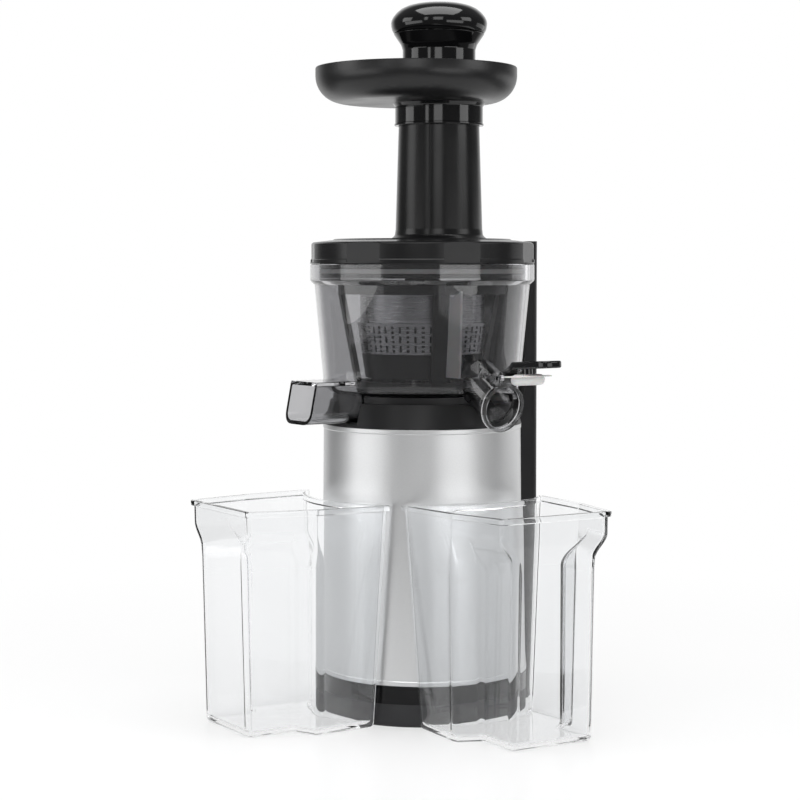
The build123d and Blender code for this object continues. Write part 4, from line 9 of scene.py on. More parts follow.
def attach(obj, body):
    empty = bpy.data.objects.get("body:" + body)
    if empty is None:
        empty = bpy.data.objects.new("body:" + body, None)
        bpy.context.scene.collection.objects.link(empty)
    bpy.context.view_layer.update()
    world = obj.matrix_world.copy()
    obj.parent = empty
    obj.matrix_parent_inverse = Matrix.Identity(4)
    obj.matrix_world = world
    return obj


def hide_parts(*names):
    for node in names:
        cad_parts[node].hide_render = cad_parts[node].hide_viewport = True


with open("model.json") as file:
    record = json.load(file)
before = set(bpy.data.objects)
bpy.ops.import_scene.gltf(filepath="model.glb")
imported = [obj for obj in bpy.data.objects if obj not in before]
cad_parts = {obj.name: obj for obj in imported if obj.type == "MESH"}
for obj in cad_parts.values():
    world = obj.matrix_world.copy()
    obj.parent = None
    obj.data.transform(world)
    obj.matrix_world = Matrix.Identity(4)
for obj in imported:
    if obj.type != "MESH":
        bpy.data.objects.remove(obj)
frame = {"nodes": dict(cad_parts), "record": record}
scene = bpy.context.scene
MM = 0.001


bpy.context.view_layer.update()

# ---------------------------------------------------------------- materials

# the part of its range that a noise texture mostly fills
NOISE_LOW, NOISE_HIGH = 0.3, 0.7


def new_material(name):
    """A new material, its node tree and its shader."""
    material = bpy.data.materials.new(name)
    material.use_nodes = True
    tree = material.node_tree
    return material, tree, tree.nodes["Principled BSDF"]


def link(tree, a, b):
    tree.links.new(a, b)


def noise(tree, scale, detail=3, stretch=(1, 1, 1)):
    """Noise over the object's own coordinates, which stretch scales along each axis."""
    source = tree.nodes.new("ShaderNodeTexCoord")
    mapping = tree.nodes.new("ShaderNodeMapping")
    mapping.inputs["Scale"].default_value = stretch
    link(tree, source.outputs["Object"], mapping.inputs["Vector"])
    texture = tree.nodes.new("ShaderNodeTexNoise")
    texture.inputs["Scale"].default_value = scale
    texture.inputs["Detail"].default_value = detail
    link(tree, mapping.outputs["Vector"], texture.inputs["Vector"])
    return texture.outputs["Fac"]


def shade(tree, shader, value, colour, darker, lighter=1.0):
    """Base colour between a darker and a lighter shade of one colour."""
    ramp = tree.nodes.new("ShaderNodeValToRGB")
    low, high = ramp.color_ramp.elements
    low.color = (*(c * darker for c in colour), 1)
    high.color = (*(min(1, c * lighter) for c in colour), 1)
    low.position = NOISE_LOW
    high.position = NOISE_HIGH
    link(tree, value, ramp.inputs["Fac"])
    link(tree, ramp.outputs["Color"], shader.inputs["Base Color"])


def roughen(tree, shader, value, rough, spread):
    """Roughness that varies by a share of itself, down and up."""
    node = tree.nodes.new("ShaderNodeMapRange")
    node.inputs["From Min"].default_value = NOISE_LOW
    node.inputs["From Max"].default_value = NOISE_HIGH
    node.inputs["To Min"].default_value = rough * (1 - spread)
    node.inputs["To Max"].default_value = rough * (1 + spread)
    link(tree, value, node.inputs["Value"])
    link(tree, node.outputs["Result"], shader.inputs["Roughness"])


def bump(tree, shader, value, strength, distance=0.0002):
    node = tree.nodes.new("ShaderNodeBump")
    node.inputs["Strength"].default_value = strength
    node.inputs["Distance"].default_value = distance
    link(tree, value, node.inputs["Height"])
    link(tree, node.outputs["Normal"], shader.inputs["Normal"])


def plastic(name, colour, rough, grain=0.15, grain_scale=1400, specular=0.35):
    """Moulded plastic: a trace of colour change, roughness change and a fine grain."""
    material, tree, shader = new_material(name)
    shade(tree, shader, noise(tree, scale=18), colour, 0.88, 1.12)
    roughen(tree, shader, noise(tree, scale=45), rough, 0.12)
    shader.inputs["Specular IOR Level"].default_value = specular
    bump(tree, shader, noise(tree, grain_scale), grain)
    return material


def metal(name, colour, rough, stretch=(1, 1, 1), grain=0.1, grain_scale=900):
    """Metal with a grain that can run along one axis."""
    material, tree, shader = new_material(name)
    shade(tree, shader, noise(tree, 60, 4, stretch), colour, 0.9, 1.08)
    roughen(tree, shader, noise(tree, 120, 3, stretch), rough, 0.2)
    shader.inputs["Metallic"].default_value = 1.0
    bump(tree, shader, noise(tree, grain_scale, 2, stretch), grain, 0.0001)
    return material


def painted(name, colour, rough):
    """Fine metallic paint: flakes in the colour, a grain too small to cast blotches."""
    material, tree, shader = new_material(name)
    flakes = noise(tree, 2600, 2)
    shade(tree, shader, flakes, colour, 0.95, 1.04)
    roughen(tree, shader, noise(tree, 900, 2), rough, 0.06)
    shader.inputs["Metallic"].default_value = 0.9
    bump(tree, shader, flakes, 0.04, 0.00005)
    return material


def clear(name, colour, rough, ior=1.49, wave=0.02, specular=0.5):
    """Clear moulded plastic with faint flow marks."""
    material, tree, shader = new_material(name)
    shade(tree, shader, noise(tree, scale=9), colour, 0.97)
    roughen(tree, shader, noise(tree, scale=30), rough, 0.3)
    shader.inputs["Transmission Weight"].default_value = 1.0
    shader.inputs["IOR"].default_value = ior
    shader.inputs["Specular IOR Level"].default_value = specular
    bump(tree, shader, noise(tree, scale=22), wave, 0.0005)
    return material


def rubber(name, colour, rough, translucent=0.0):
    """Rubber or silicone: matt, finely grained, and in pale colours a little translucent."""
    material, tree, shader = new_material(name)
    shade(tree, shader, noise(tree, scale=35), colour, 0.92)
    roughen(tree, shader, noise(tree, scale=70), rough, 0.1)
    shader.inputs["Specular IOR Level"].default_value = 0.3
    shader.inputs["Subsurface Weight"].default_value = translucent
    shader.inputs["Subsurface Scale"].default_value = 0.002
    bump(tree, shader, noise(tree, scale=1100), 0.2)
    return material


gloss_black = plastic("gloss_black", (0.006, 0.006, 0.0065), 0.09, grain=0.01, specular=0.45)
lid_black = plastic("lid_black", (0.009, 0.009, 0.0095), 0.24, grain=0.03, specular=0.3)
trim_black = plastic("trim_black", (0.006, 0.006, 0.0065), 0.12, grain=0.01, specular=0.18)
tray_black = plastic("tray_black", (0.0105, 0.0105, 0.011), 0.33, specular=0.42)
base_black = plastic(
    "base_black", (0.040, 0.040, 0.042), 0.55, grain=0.3, grain_scale=900, specular=0.2,
)
silver = painted("silver_body", (0.66, 0.665, 0.67), 0.38)
smoke = clear("smoke_clear", (0.50, 0.50, 0.51), 0.012, wave=0.003, specular=0.15)
jug_clear = clear("clear_jug", (0.97, 0.975, 0.98), 0.012, ior=1.36)
steel = metal("steel", (0.34, 0.34, 0.35), 0.30, (1, 1, 14))
white_silicone = rubber("white_silicone", (0.72, 0.72, 0.71), 0.45, 0.15)

# the look of each material slot of the record
LOOKS = {
    "satin_black": plastic("satin_black", (0.0105, 0.0105, 0.011), 0.36, specular=0.25),
    "gloss_black": gloss_black,
    "silver_body": silver,
    "smoke_clear": smoke,
    "clear_jug": jug_clear,
    "steel": steel,
    "bright_steel": metal("bright_steel", (0.62, 0.62, 0.63), 0.18),
    "cast_alloy": metal("cast_alloy", (0.50, 0.51, 0.52), 0.5, grain=0.5, grain_scale=500),
    "lamination": metal("lamination", (0.20, 0.20, 0.21), 0.45, (1, 1, 60), grain=0.6),
    "copper": metal("copper", (0.65, 0.28, 0.12), 0.35, (20, 20, 1), grain=0.6),
    "white_silicone": white_silicone,
    "grey_silicone": rubber("grey_silicone", (0.45, 0.45, 0.44), 0.5, 0.1),
    "black_rubber": rubber("black_rubber", (0.02, 0.02, 0.02), 0.7),
    "inner_plastic": plastic("inner_black", (0.03, 0.03, 0.032), 0.5),
    "nylon": plastic("nylon", (0.72, 0.70, 0.63), 0.45),
    "grey_plastic": plastic("grey_plastic", (0.05, 0.05, 0.053), 0.35),
    "bronze": metal("bronze", (0.50, 0.32, 0.14), 0.4),
    "magnet": metal("magnet", (0.45, 0.45, 0.47), 0.25),
}

for entry in frame["record"]["subparts"]:
    piece = frame["nodes"][entry["node"]]
    piece.data.materials.clear()
    piece.data.materials.append(LOOKS[entry["material_slot"]])

frame["nodes"]["foot_ring"].data.materials[0] = base_black
frame["nodes"]["trim_ring"].data.materials[0] = trim_black

# ---------------------------------------------------------------- mesh helpers, sizes in mm

MERGE_WITHIN = 1e-7
BEVEL_FROM = 30
# steps of a turned outline, by the size of what is turned
LARGE, MIDDLE, SMALL = 224, 160, 64


def mesh_object(name, verts, faces):
    """Mesh object from points in mm."""
    mesh = bpy.data.meshes.new(name)
    mesh.from_pydata([tuple(c * MM for c in v) for v in verts], [], faces)
    piece = bpy.data.objects.new(name, mesh)
    scene.collection.objects.link(piece)
    return piece


def solid(name, verts, faces, matrix=None):
    """Closed mesh object: doubled points merged, all its sides facing outward."""
    piece = mesh_object(name, verts, faces)
    work = bmesh.new()
    work.from_mesh(piece.data)
    bmesh.ops.remove_doubles(work, verts=work.verts, dist=MERGE_WITHIN)
    bmesh.ops.recalc_face_normals(work, faces=work.faces)
    work.to_mesh(piece.data)
    work.free()
    if matrix is not None:
        piece.data.transform(matrix)
    return piece


def bake(piece):
    """Replace a piece's mesh by what its modifiers make of it."""
    graph = bpy.context.evaluated_depsgraph_get()
    result = bpy.data.meshes.new_from_object(piece.evaluated_get(graph))
    piece.modifiers.clear()
    piece.data = result


def round_edges(piece, width, steps):
    edge = piece.modifiers.new("edge", "BEVEL")
    edge.width = width * MM
    edge.segments = steps
    edge.limit_method = "ANGLE"
    edge.angle_limit = math.radians(BEVEL_FROM)
    bake(piece)


def combine(piece, tool, operation):
    """Join a tool to a piece or cut the piece with it, and remove the tool."""
    change = piece.modifiers.new("change", "BOOLEAN")
    change.object = tool
    change.operation = operation
    change.solver = "EXACT"
    bake(piece)
    bpy.data.objects.remove(tool)


def join(piece, tool):
    combine(piece, tool, "UNION")


def cut(piece, tool):
    combine(piece, tool, "DIFFERENCE")


def dress(piece, material, body, node, sharp=40):
    """Finish a piece, and let it ride on a CAD body in place of one of its nodes."""
    piece.data.materials.clear()
    piece.data.materials.append(material)
    piece.data.shade_smooth()
    piece.data.set_sharp_from_angle(angle=math.radians(sharp))
    flat = piece.modifiers.new("normals", "WEIGHTED_NORMAL")
    flat.keep_sharp = True
    bake(piece)
    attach(piece, body)
    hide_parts(node)


def arc(cx, cy, r, start, end, steps=8):
    """Points of an arc between two angles in degrees."""
    return [
        (cx + r * math.cos(math.radians(start + (end - start) * k / steps)),
         cy + r * math.sin(math.radians(start + (end - start) * k / steps)))
        for k in range(steps + 1)
    ]


def circle(r, steps, cx=0.0, cy=0.0):
    """Points round a whole circle."""
    turns = [2 * math.pi * k / steps for k in range(steps)]
    return [(cx + r * math.cos(a), cy + r * math.sin(a)) for a in turns]


def polar(angle):
    """Unit vectors outward and sideways at an angle in degrees about the upright axis."""
    a = math.radians(angle)
    return Vector((math.cos(a), math.sin(a), 0)), Vector((-math.sin(a), math.cos(a), 0))


def lift(z):
    return Vector((0, 0, z))


def turned(profile, steps, centre=(0, 0)):
    """Points and faces of a closed (radius, height) outline turned about an upright axis."""
    verts = []
    faces = []
    count = len(profile)
    for k in range(steps):
        a = 2 * math.pi * k / steps
        n = (k + 1) % steps
        for i, (r, z) in enumerate(profile):
            j = (i + 1) % count
            verts.append((centre[0] + r * math.cos(a), centre[1] + r * math.sin(a), z))
            faces.append((k * count + i, k * count + j, n * count + j, n * count + i))
    return verts, faces


def bar(r, low, high, steps=SMALL, centre=(0, 0)):
    """Points and faces of an upright round bar."""
    return turned([(0.01, low), (r, low), (r, high), (0.01, high)], steps, centre)


def rounded(points, radii, steps=4):
    """A closed outline with its corners rounded, each by its own radius."""
    result = []
    for i, radius in enumerate(radii):
        corner = Vector(points[i])
        before = Vector(points[i - 1]) - corner
        after = Vector(points[(i + 1) % len(points)]) - corner
        if radius <= 0:
            result.append(tuple(corner))
            continue
        reach = radius / max(0.2, math.tan(before.angle(after) / 2))
        start = corner + before.normalized() * min(reach, before.length * 0.48)
        end = corner + after.normalized() * min(reach, after.length * 0.48)
        for s in range(steps + 1):
            t = s / steps
            result.append(tuple(start * (1 - t) ** 2 + corner * 2 * t * (1 - t) + end * t ** 2))
    return result


def skinned(rings):
    """Points and faces of a closed tube through rings of equally many points."""
    verts = [p for ring in rings for p in ring]
    count = len(rings[0])
    faces = []
    for k in range(len(rings) - 1):
        for i in range(count):
            j = (i + 1) % count
            faces.append((k * count + i, k * count + j, (k + 1) * count + j, (k + 1) * count + i))
    faces.append(tuple(range(count)))
    faces.append(tuple(range((len(rings) - 1) * count, len(rings) * count)))
    return verts, faces


def upright(plan, low, high):
    """Points and faces of a plan raised between two heights."""
    return skinned([[(x, y, z) for x, y in plan] for z in (low, high)])


# ---------------------------------------------------------------- catch jugs

JUG_TOP = 131.0
JUG_WALL = 2.0
# half a jug's plan at its foot and at its rim: (distance from the machine's axis, half width)
INNER_FOOT, INNER_RIM = (52.5, 40.4), (48.9, 49.4)
WAIST_FOOT, WAIST_RIM = (91.6, 42.9), (93.0, 45.5)
OUTER_FOOT, OUTER_RIM = (129.6, 37.0), (133.0, 36.5)
CORNER_RADII = [2.5, 7.0, 6.0, 5.0, 5.0, 6.0, 7.0, 2.5]
# the hollow side towards the machine
HOLLOW_REACH, HOLLOW_STEPS, HOLLOW_SHARE = 66.3, 14, 0.94
# grip recess, and the shoulder that ends it under the rim
GRIP_X, GRIP_HALF, GRIP_TIP_HALF = 99.6, 27.6, 28.4
JUG_LEDGE = 113.0
LEDGE_ROUND = 12.0
TIP_BELOW, JOG_BELOW, LEDGE_ABOVE = 8.0, 17.0, 5.0
LEDGE_STEPS = 16


def mix(a, b, t):
    return tuple(p + (q - p) * t for p, q in zip(a, b))


def eased(z, low, high):
    """Smooth step from 0 to 1 between two heights."""
    t = min(1.0, max(0.0, (z - low) / (high - low)))
    return t * t * (3 - 2 * t)


def jug_ring(z, inset, ledge, lip=0.0):
    """Plan of a jug at height z, moved inwards by the wall where it is the inner side."""
    share = z / JUG_TOP
    inner = mix(INNER_FOOT, INNER_RIM, share)
    waist = mix(WAIST_FOOT, WAIST_RIM, share)
    outer = mix(OUTER_FOOT, OUTER_RIM, share)
    over = min(LEDGE_ROUND, max(0.0, z - (ledge - LEDGE_ROUND)))
    run = LEDGE_ROUND - math.sqrt(LEDGE_ROUND ** 2 - over ** 2)
    end = ledge + LEDGE_ABOVE
    jog = mix((GRIP_X + run, GRIP_HALF), mix(waist, outer, 0.35), eased(z, ledge - JOG_BELOW, end))
    tip = mix((outer[0], GRIP_TIP_HALF), outer, eased(z, ledge - TIP_BELOW, end))
    grow = lip - inset
    inner = (inner[0] - grow, inner[1] + grow)
    waist = (waist[0], waist[1] + grow)
    jog = (jog[0] - inset * 0.5, jog[1] + grow)
    tip = (tip[0] + grow, tip[1] + grow)
    side = [inner, waist, jog, tip]
    plan = [(x, -y) for x, y in side] + [(x, y) for x, y in reversed(side)]
    ring = rounded(plan, [max(0.6, r - inset) for r in CORNER_RADII])
    reach = HOLLOW_REACH - grow
    half = inner[1]
    rise = reach - inner[0]
    radius = (half ** 2 + rise ** 2) / (2 * rise)
    for k in range(1, HOLLOW_STEPS):
        y = half * HOLLOW_SHARE - 2 * half * HOLLOW_SHARE * k / HOLLOW_STEPS
        ring.append((reach - radius + math.sqrt(max(0, radius ** 2 - y ** 2)), y))
    return [(x, y, z) for x, y in ring]


def rim_ring(inset, ledge, lip=0.0):
    return [(x, y, JUG_TOP) for x, y, z in jug_ring(JUG_TOP - 0.1, inset, ledge, lip)]


def jug(name, node, turn, shift):
    """A catch jug: rings up its outside, over its rim and down its inside."""
    rise = JOG_BELOW + LEDGE_ABOVE
    shoulder = [rise * k / LEDGE_STEPS - JOG_BELOW for k in range(LEDGE_STEPS + 1)]
    ledge = JUG_LEDGE + JUG_WALL * 0.5
    outside = [(0.0, 2.4, 0), (0.7, 0.9, 0), (2.4, 0, 0), (30, 0, 0), (70, 0, 0)]
    outside += [(JUG_LEDGE + z, 0, 0) for z in shoulder]
    outside += [(JUG_TOP - 3.6, 0, 0), (JUG_TOP - 3.0, 0, 1.3), (JUG_TOP - 0.5, 0, 1.6)]
    inside = [(JUG_TOP - 0.6, 0)]
    inside += [(ledge + z, 0) for z in reversed(shoulder)]
    inside += [(70, 0), (30, 0), (5.4, 0), (3.3, 0.8), (2.5, 2.6)]
    rings = [jug_ring(z, inset, JUG_LEDGE, lip) for z, inset, lip in outside]
    rings += [rim_ring(0, JUG_LEDGE, 1.1), rim_ring(JUG_WALL - 0.4, ledge)]
    rings += [jug_ring(z, JUG_WALL + inset, ledge) for z, inset in inside]
    out, side = polar(turn)
    base = out * shift[0] + side * shift[1]
    placed = [[tuple(base + out * x + side * y + lift(z)) for x, y, z in ring] for ring in rings]
    dress(solid(name, *skinned(placed)), jug_clear, node, node, 55)


jug("juice_jug_clear", "juice_jug", -3.4, (0.8, 5.0))
jug("pulp_jug_clear", "pulp_jug", -93.7, (2.8, -3.7))

# ---------------------------------------------------------------- body

shell = rounded(
    [(59.7, 24.0), (61.7, 24.0), (61.7, 26.6), (61.28, 27.0), (60.02, 171.4), (60.4, 171.8),
     (60.4, 174.4), (58.4, 174.4)],
    [0, 0.4, 0.4, 0.3, 0.3, 0.4, 0.4, 0],
    3,
)
dress(solid("body_silver", *turned(shell, LARGE)), silver, "base", "body_shell")

# ---------------------------------------------------------------- lid with its feed tube

# the feed tube stands off the machine's axis
TUBE_CENTRE = (0, 12.6)
TUBE_BORE = 22.5
GRIPS, FIRST_GRIP = 7, 87.6
RIB_AT = -48

lid_outline = rounded(
    [
        (57.9, 283.2), (57.9, 262.5), (60.0, 262.5), (62.2, 262.5), (62.2, 265.0), (61.1, 265.0),
        (61.1, 268.1), (62.2, 268.1), (62.2, 280.5), (65.4, 280.5), (65.4, 271.0), (68.2, 271.0),
        (68.2, 273.4), (67.6, 273.9), (67.6, 283.0), (66.2, 284.0), (54.4, 285.4), (53.5, 286.0),
        (0.01, 286.0), (0.01, 283.2),
    ],
    [0.4] * 10 + [0.3, 0.5, 0.3, 0.3, 0.6, 0.8, 0.4, 0.4, 0, 0],
    3,
)
tube_outline = rounded(
    [(0.01, 283.0), (29.9, 283.0), (29.6, 286.0), (27.0, 288.4), (26.5, 292.0), (24.6, 355.0),
     (24.6, 365.6), (0.01, 365.6)],
    [0, 0, 1.2, 2.5, 3, 0, 0.4, 0],
    5,
)
lid = solid("lid_shell", *turned(lid_outline, LARGE))
join(lid, solid("tube", *turned(tube_outline, MIDDLE, TUBE_CENTRE)))

# flat grips round the lid's skirt
for k in range(GRIPS):
    out, side = polar(FIRST_GRIP + 360 / GRIPS * k)
    plan = [(66.6, -11.25), (72, -14.5), (72, 14.5), (66.6, 11.25)]
    low = [tuple(out * x + side * y + lift(271.9)) for x, y in plan]
    high = [(x, y, 290.0) for x, y, z in low]
    cut(lid, solid("grip", *skinned([low, high])))

# one fine rib up the tube
out, side = polar(RIB_AT)
foot = Vector((*TUBE_CENTRE, 0))
rib = [
    [tuple(foot + out * x + side * y + lift(z))
     for x, y in ((r - 3, -0.9), (r + 0.5, -0.9), (r + 0.8, 0), (r + 0.5, 0.9), (r - 3, 0.9))]
    for r, z in ((26.7, 286.5), (24.6, 354.8))
]
join(lid, solid("rib", *skinned(rib)))

# the bore, which leaves the auger's bearing boss whole
bore = [(0.01, 285.99), (TUBE_BORE, 285.99), (TUBE_BORE, 364.6), (23.2, 366), (0.01, 366)]
cut(lid, solid("bore", *turned(bore, MIDDLE, TUBE_CENTRE)))
mouth = [p for p in arc(*TUBE_CENTRE, TUBE_BORE, 0, 360, 120)[:-1] if p[1] > 4.5]
cut(lid, solid("mouth", *upright(mouth, 282, 287)))
join(lid, solid("boss", *bar(8.2, 268.2, 285.9)))
cut(lid, solid("bush_hole", *bar(6.06, 267, 275.6)))
dress(lid, lid_black, "lid", "lid", 32)

# ---------------------------------------------------------------- tray, socket, pusher

TRAY_CENTRE = (0, -4.5)
TRAY_BEND = (45.0, 384.4)

tray_outline = [(0.01, 368.4)] + arc(*TRAY_BEND, 16.0, -90, 0, 14) + [(61.0, 388.6)]
tray_outline += [(60.7, 389.3), (59.1, 389.3), (58.8, 388.7)]
tray_outline += arc(*TRAY_BEND, 13.8, 0, -90, 14) + [(0.01, 370.6)]
tray = solid("tray_dish", *turned(tray_outline, LARGE, TRAY_CENTRE))
cut(tray, solid("hole", *bar(TUBE_BORE, 360, 374, MIDDLE, TUBE_CENTRE)))
dress(tray, tray_black, "tray", "tray", 32)

collar = rounded(
    [(24.95, 355.0), (27.2, 355.0), (27.2, 356.2), (26.8, 356.5), (26.8, 366.6), (28.2, 368.6),
     (24.95, 368.6)],
    [0.2, 0.3, 0.2, 0.1, 1.2, 0, 0],
)
collar_piece = solid("tray_collar", *turned(collar, 208, TUBE_CENTRE))
dress(collar_piece, gloss_black, "tray", "tray_socket", 35)

stem = rounded(
    [(0.01, 318.0), (22.2, 318.0), (22.2, 401.0), (23.2, 404.2), (27.4, 410.4), (27.6, 411.0),
     (25.4, 411.0), (20.2, 400.0), (20.2, 320.0), (0.01, 320.0)],
    [0, 2.0, 3, 6, 2, 0.3, 0.3, 5, 1, 0],
    5,
)
stem_piece = solid("pusher_stem", *turned(stem, 192, TUBE_CENTRE))
dress(stem_piece, gloss_black, "pusher", "pusher_body")

dome = [
    (0.01, 411.2), (27.2, 411.2), (27.9, 411.6), (28.7, 413.2), (29.15, 415.2), (29.3, 417.0),
    (29.1, 418.6), (28.2, 420.6), (26.2, 423.2), (23.4, 425.6), (19.5, 427.5), (14.5, 428.8),
    (8.0, 429.4), (0.01, 429.5),
]
dome_piece = solid("pusher_dome", *turned(dome, 192, TUBE_CENTRE))
dress(dome_piece, gloss_black, "pusher", "pusher_cap", 60)

# ---------------------------------------------------------------- bowl, spout and chute

WALL_FOOT, WALL_HEAD = (60.2, 199.7), (65.5, 258.4)
CHUTE_FLOOR, CHUTE_ROOF = 177.0, 202.0
CHUTE_HALF, CHUTE_CORNER, CHUTE_LEAN = 14.5, 8.0, 5.0
EAR_INNER, EAR_OUTER = 5.4, 8.0

# spout: its fall, the lean of its mouth, and the cap's hinge above it
spout_fall = math.radians(32)
mouth_lean = math.radians(12)
along = Vector((math.cos(spout_fall), 0, -math.sin(spout_fall)))
normal = Vector((math.cos(mouth_lean), 0, -math.sin(mouth_lean)))
shut = Vector((-math.sin(mouth_lean), 0, -math.cos(mouth_lean)))
mouth_at = Vector((81.0, 0, 202.0 - 23.0 * math.tan(spout_fall)))
start_at = mouth_at - along * 36
hinge_at = Vector((85.0, 0, 205.4))
side_y = Vector((0, 1, 0))


def wall_radius(z):
    """Radius of the bowl's wall at height z."""
    share = (z - WALL_FOOT[1]) / (WALL_HEAD[1] - WALL_FOOT[1])
    return WALL_FOOT[0] + share * (WALL_HEAD[0] - WALL_FOOT[0])


def frame_along(origin, direction):
    """Matrix whose Z runs along a direction and whose X runs across, in metres."""
    z = Vector(direction).normalized()
    matrix = Matrix((side_y, z.cross(side_y), z)).transposed().to_4x4()
    matrix.translation = Vector(origin) * MM
    return matrix


def rod(name, r, low, high, origin, direction):
    """Round bar along a direction, its ends flat."""
    return solid(name, *upright(circle(r, 96), low, high), frame_along(origin, direction))


def chute_ring(inset, y, lean=0.0):
    """Section of the chute, its two lower corners rounded."""
    half = CHUTE_HALF - inset
    low, high = CHUTE_FLOOR + inset, CHUTE_ROOF - inset
    corner = CHUTE_CORNER - inset
    plan = [(-half, low), (half, low), (half, high), (-half, high)]
    tall = CHUTE_ROOF - CHUTE_FLOOR
    return [
        (x, y + lean * (z - CHUTE_FLOOR) / tall, z)
        for x, z in rounded(plan, [corner, corner, 1.0, 1.0], 6)
    ]


def chute(name, inset, start, end):
    """Solid of the chute's section, its open end leaning."""
    return solid(name, *skinned([chute_ring(inset, start), chute_ring(inset, end, CHUTE_LEAN)]))


bowl_outline = [(0.01, 188.9), (12.4, 188.9), (12.4, 192.9), (49.6, 192.9), (49.6, 176.4),
                (51.6, 176.4), (51.6, 192.9)]
bowl_outline += arc(53.4, 199.7, 6.8, -90, 0)
bowl_outline += [WALL_HEAD, (66.2, 258.9), (67.8, 260.6), (68.2, 261.4), (68.2, 270.4),
                 (67.8, 270.8), (0.01, 270.8)]
bowl = solid("bowl_shell", *turned(bowl_outline, LARGE))
join(bowl, rod("spout", 13.0, 0, 49, start_at, along))
cut(bowl, rod("trim", 24, 0, 40, mouth_at, normal))
join(bowl, rod("lip", 14.5, -2.4, 0, mouth_at, normal))
join(bowl, chute("chute", 0.0, -52, -90))

# two ears that carry the cap's hinge pin
ear = arc(0, 0, 3.4, 0, 180, 12) + [(1.7, -10.7), (5.7, -10.7), (5.7, -0.8)]
for ends in ((-EAR_OUTER, -EAR_INNER), (EAR_INNER, EAR_OUTER)):
    rings = [[tuple(hinge_at + shut * u + normal * v + side_y * y) for u, v in ear] for y in ends]
    join(bowl, solid("ear", *skinned(rings)))

# the inside, and what opens into it
inside = [(0.01, 271.5), (0.01, 195.1)] + arc(53.4, 199.3, 4.2, -90, 0)
inside += [(62.9, 258.4), (62.9, 271.5)]
pulp_hole = [(-10, -31), (10, -31), (10, -20), (-10, -20)]
cut(bowl, solid("inside", *turned(inside, LARGE)))
cut(bowl, rod("spout_bore", 11.0, 0, 60, start_at, along))
cut(bowl, rod("mouth_bore", 12.4, -6.9, 3, mouth_at, normal))
cut(bowl, chute("chute_bore", 2.2, -53.5, -96))
cut(bowl, solid("hub_bore", *bar(10.0, 180, 200)))
cut(bowl, solid("pulp_hole", *upright(pulp_hole, 190, 197)))
join(bowl, solid("post", *bar(3.0, 194, 200.5, 48, (0, 22.8))))
dress(bowl, smoke, "bowl", "bowl", 30)

# ---------------------------------------------------------------- spout cap

CAP_OPEN = -105.5
PLUG_AT = 18.2

open_turn = Matrix.Rotation(math.radians(CAP_OPEN), 3, "Y")
cap_u = open_turn @ shut
cap_v = open_turn @ normal


def cap_points(flat, v):
    """Points of an outline in the cap's own plane, v mm out from the mouth's face."""
    return [tuple(hinge_at + cap_u * u + side_y * y + cap_v * v) for u, y in flat]


def pill(radius, low, high, edge):
    """Points and faces of a round cushion about the plug's axis, its edges rounded."""
    quarter = [math.pi / 2 * k / 6 for k in range(7)]
    rings = [(radius - edge + edge * math.sin(t), low + edge - edge * math.cos(t)) for t in quarter]
    rings += [
        (radius - edge + edge * math.cos(t), high - edge + edge * math.sin(t)) for t in quarter
    ]
    return skinned([cap_points(circle(r, 72, PLUG_AT), v) for r, v in rings])


lever_plan = rounded([(10, -7.5), (43, -7.5), (43, 7.5), (10, 7.5)], [4.0, 6.5, 6.5, 4.0], 8)
lever = solid("lever_bar", *skinned([cap_points(lever_plan, v) for v in (4.7, 8.9)]))
round_edges(lever, 1.1, 4)
web = [(3.2 * math.cos(math.radians(t)), 3.2 * math.sin(math.radians(t)))
       for t in range(145, 386, 12)]
web += [(12.5, 4.9), (12.5, 7.6), (9.2, 7.6)]
web_rings = [
    [tuple(hinge_at + cap_u * u + cap_v * v + side_y * y) for u, v in web] for y in (-4.8, 4.8)
]
join(lever, solid("web", *skinned(web_rings)))
stud = circle(2.8, 48, PLUG_AT)
join(lever, solid("stem", *skinned([cap_points(stud, v) for v in (1.4, 5.5)])))
dress(lever, gloss_black, "spout_cap", "spout_lever", 35)

plug = solid("plug_soft", *pill(9.7, -4.6, 1.7, 3.0))
join(plug, solid("plug_lip", *pill(13.8, 0.0, 0.9, 0.4)))
dress(plug, white_silicone, "spout_cap", "spout_plug", 50)

# ---------------------------------------------------------------- strainer

DRUM_WALL = 0.8
DRUM_PAIRS = 26
SLOT_HALF, DOT_HALF = 0.020, 0.024
DRUM_LOW, DRUM_HIGH = 217.2, 234.8
MESH_RADIUS = 37.8
MESH_COLUMNS, MESH_ROWS = 288, 19
MESH_LOW, MESH_HIGH = 236.2, 252.8


def cage_radius(z):
    return 36.8 + (z - 217.0) / 19.0 * 2.7


def lattice(name, angles, heights, radius_at, is_hole):
    """Thin turned sheet with rectangular holes where is_hole(column, row) is true."""
    verts = [
        (radius_at(z) * math.cos(a), radius_at(z) * math.sin(a), z)
        for a in angles for z in heights
    ]
    rows = len(heights)
    faces = []
    for i in range(len(angles)):
        n = (i + 1) % len(angles)
        for j in range(rows - 1):
            if not is_hole(i, j):
                faces.append((i * rows + j, n * rows + j, n * rows + j + 1, i * rows + j + 1))
    return mesh_object(name, verts, faces)


def stacked(low, high, pitch, count):
    """Lower and upper edges of holes that stand one above the other."""
    return [(low + pitch * k, high + pitch * k) for k in range(count)]


# drum: columns of three slits between columns of six square dots
period = 2 * math.pi / DRUM_PAIRS
drum_angles = []
for k in range(DRUM_PAIRS):
    start = k * period
    drum_angles += [start - SLOT_HALF, start + SLOT_HALF]
    drum_angles += [start + period / 2 - DOT_HALF, start + period / 2 + DOT_HALF]
slits = stacked(218.5, 222.5, 5.6, 3)
dots = stacked(218.4, 220.0, 2.8, 6)
drum_heights = sorted({DRUM_LOW, DRUM_HIGH, *[z for pair in dots + slits for z in pair]})


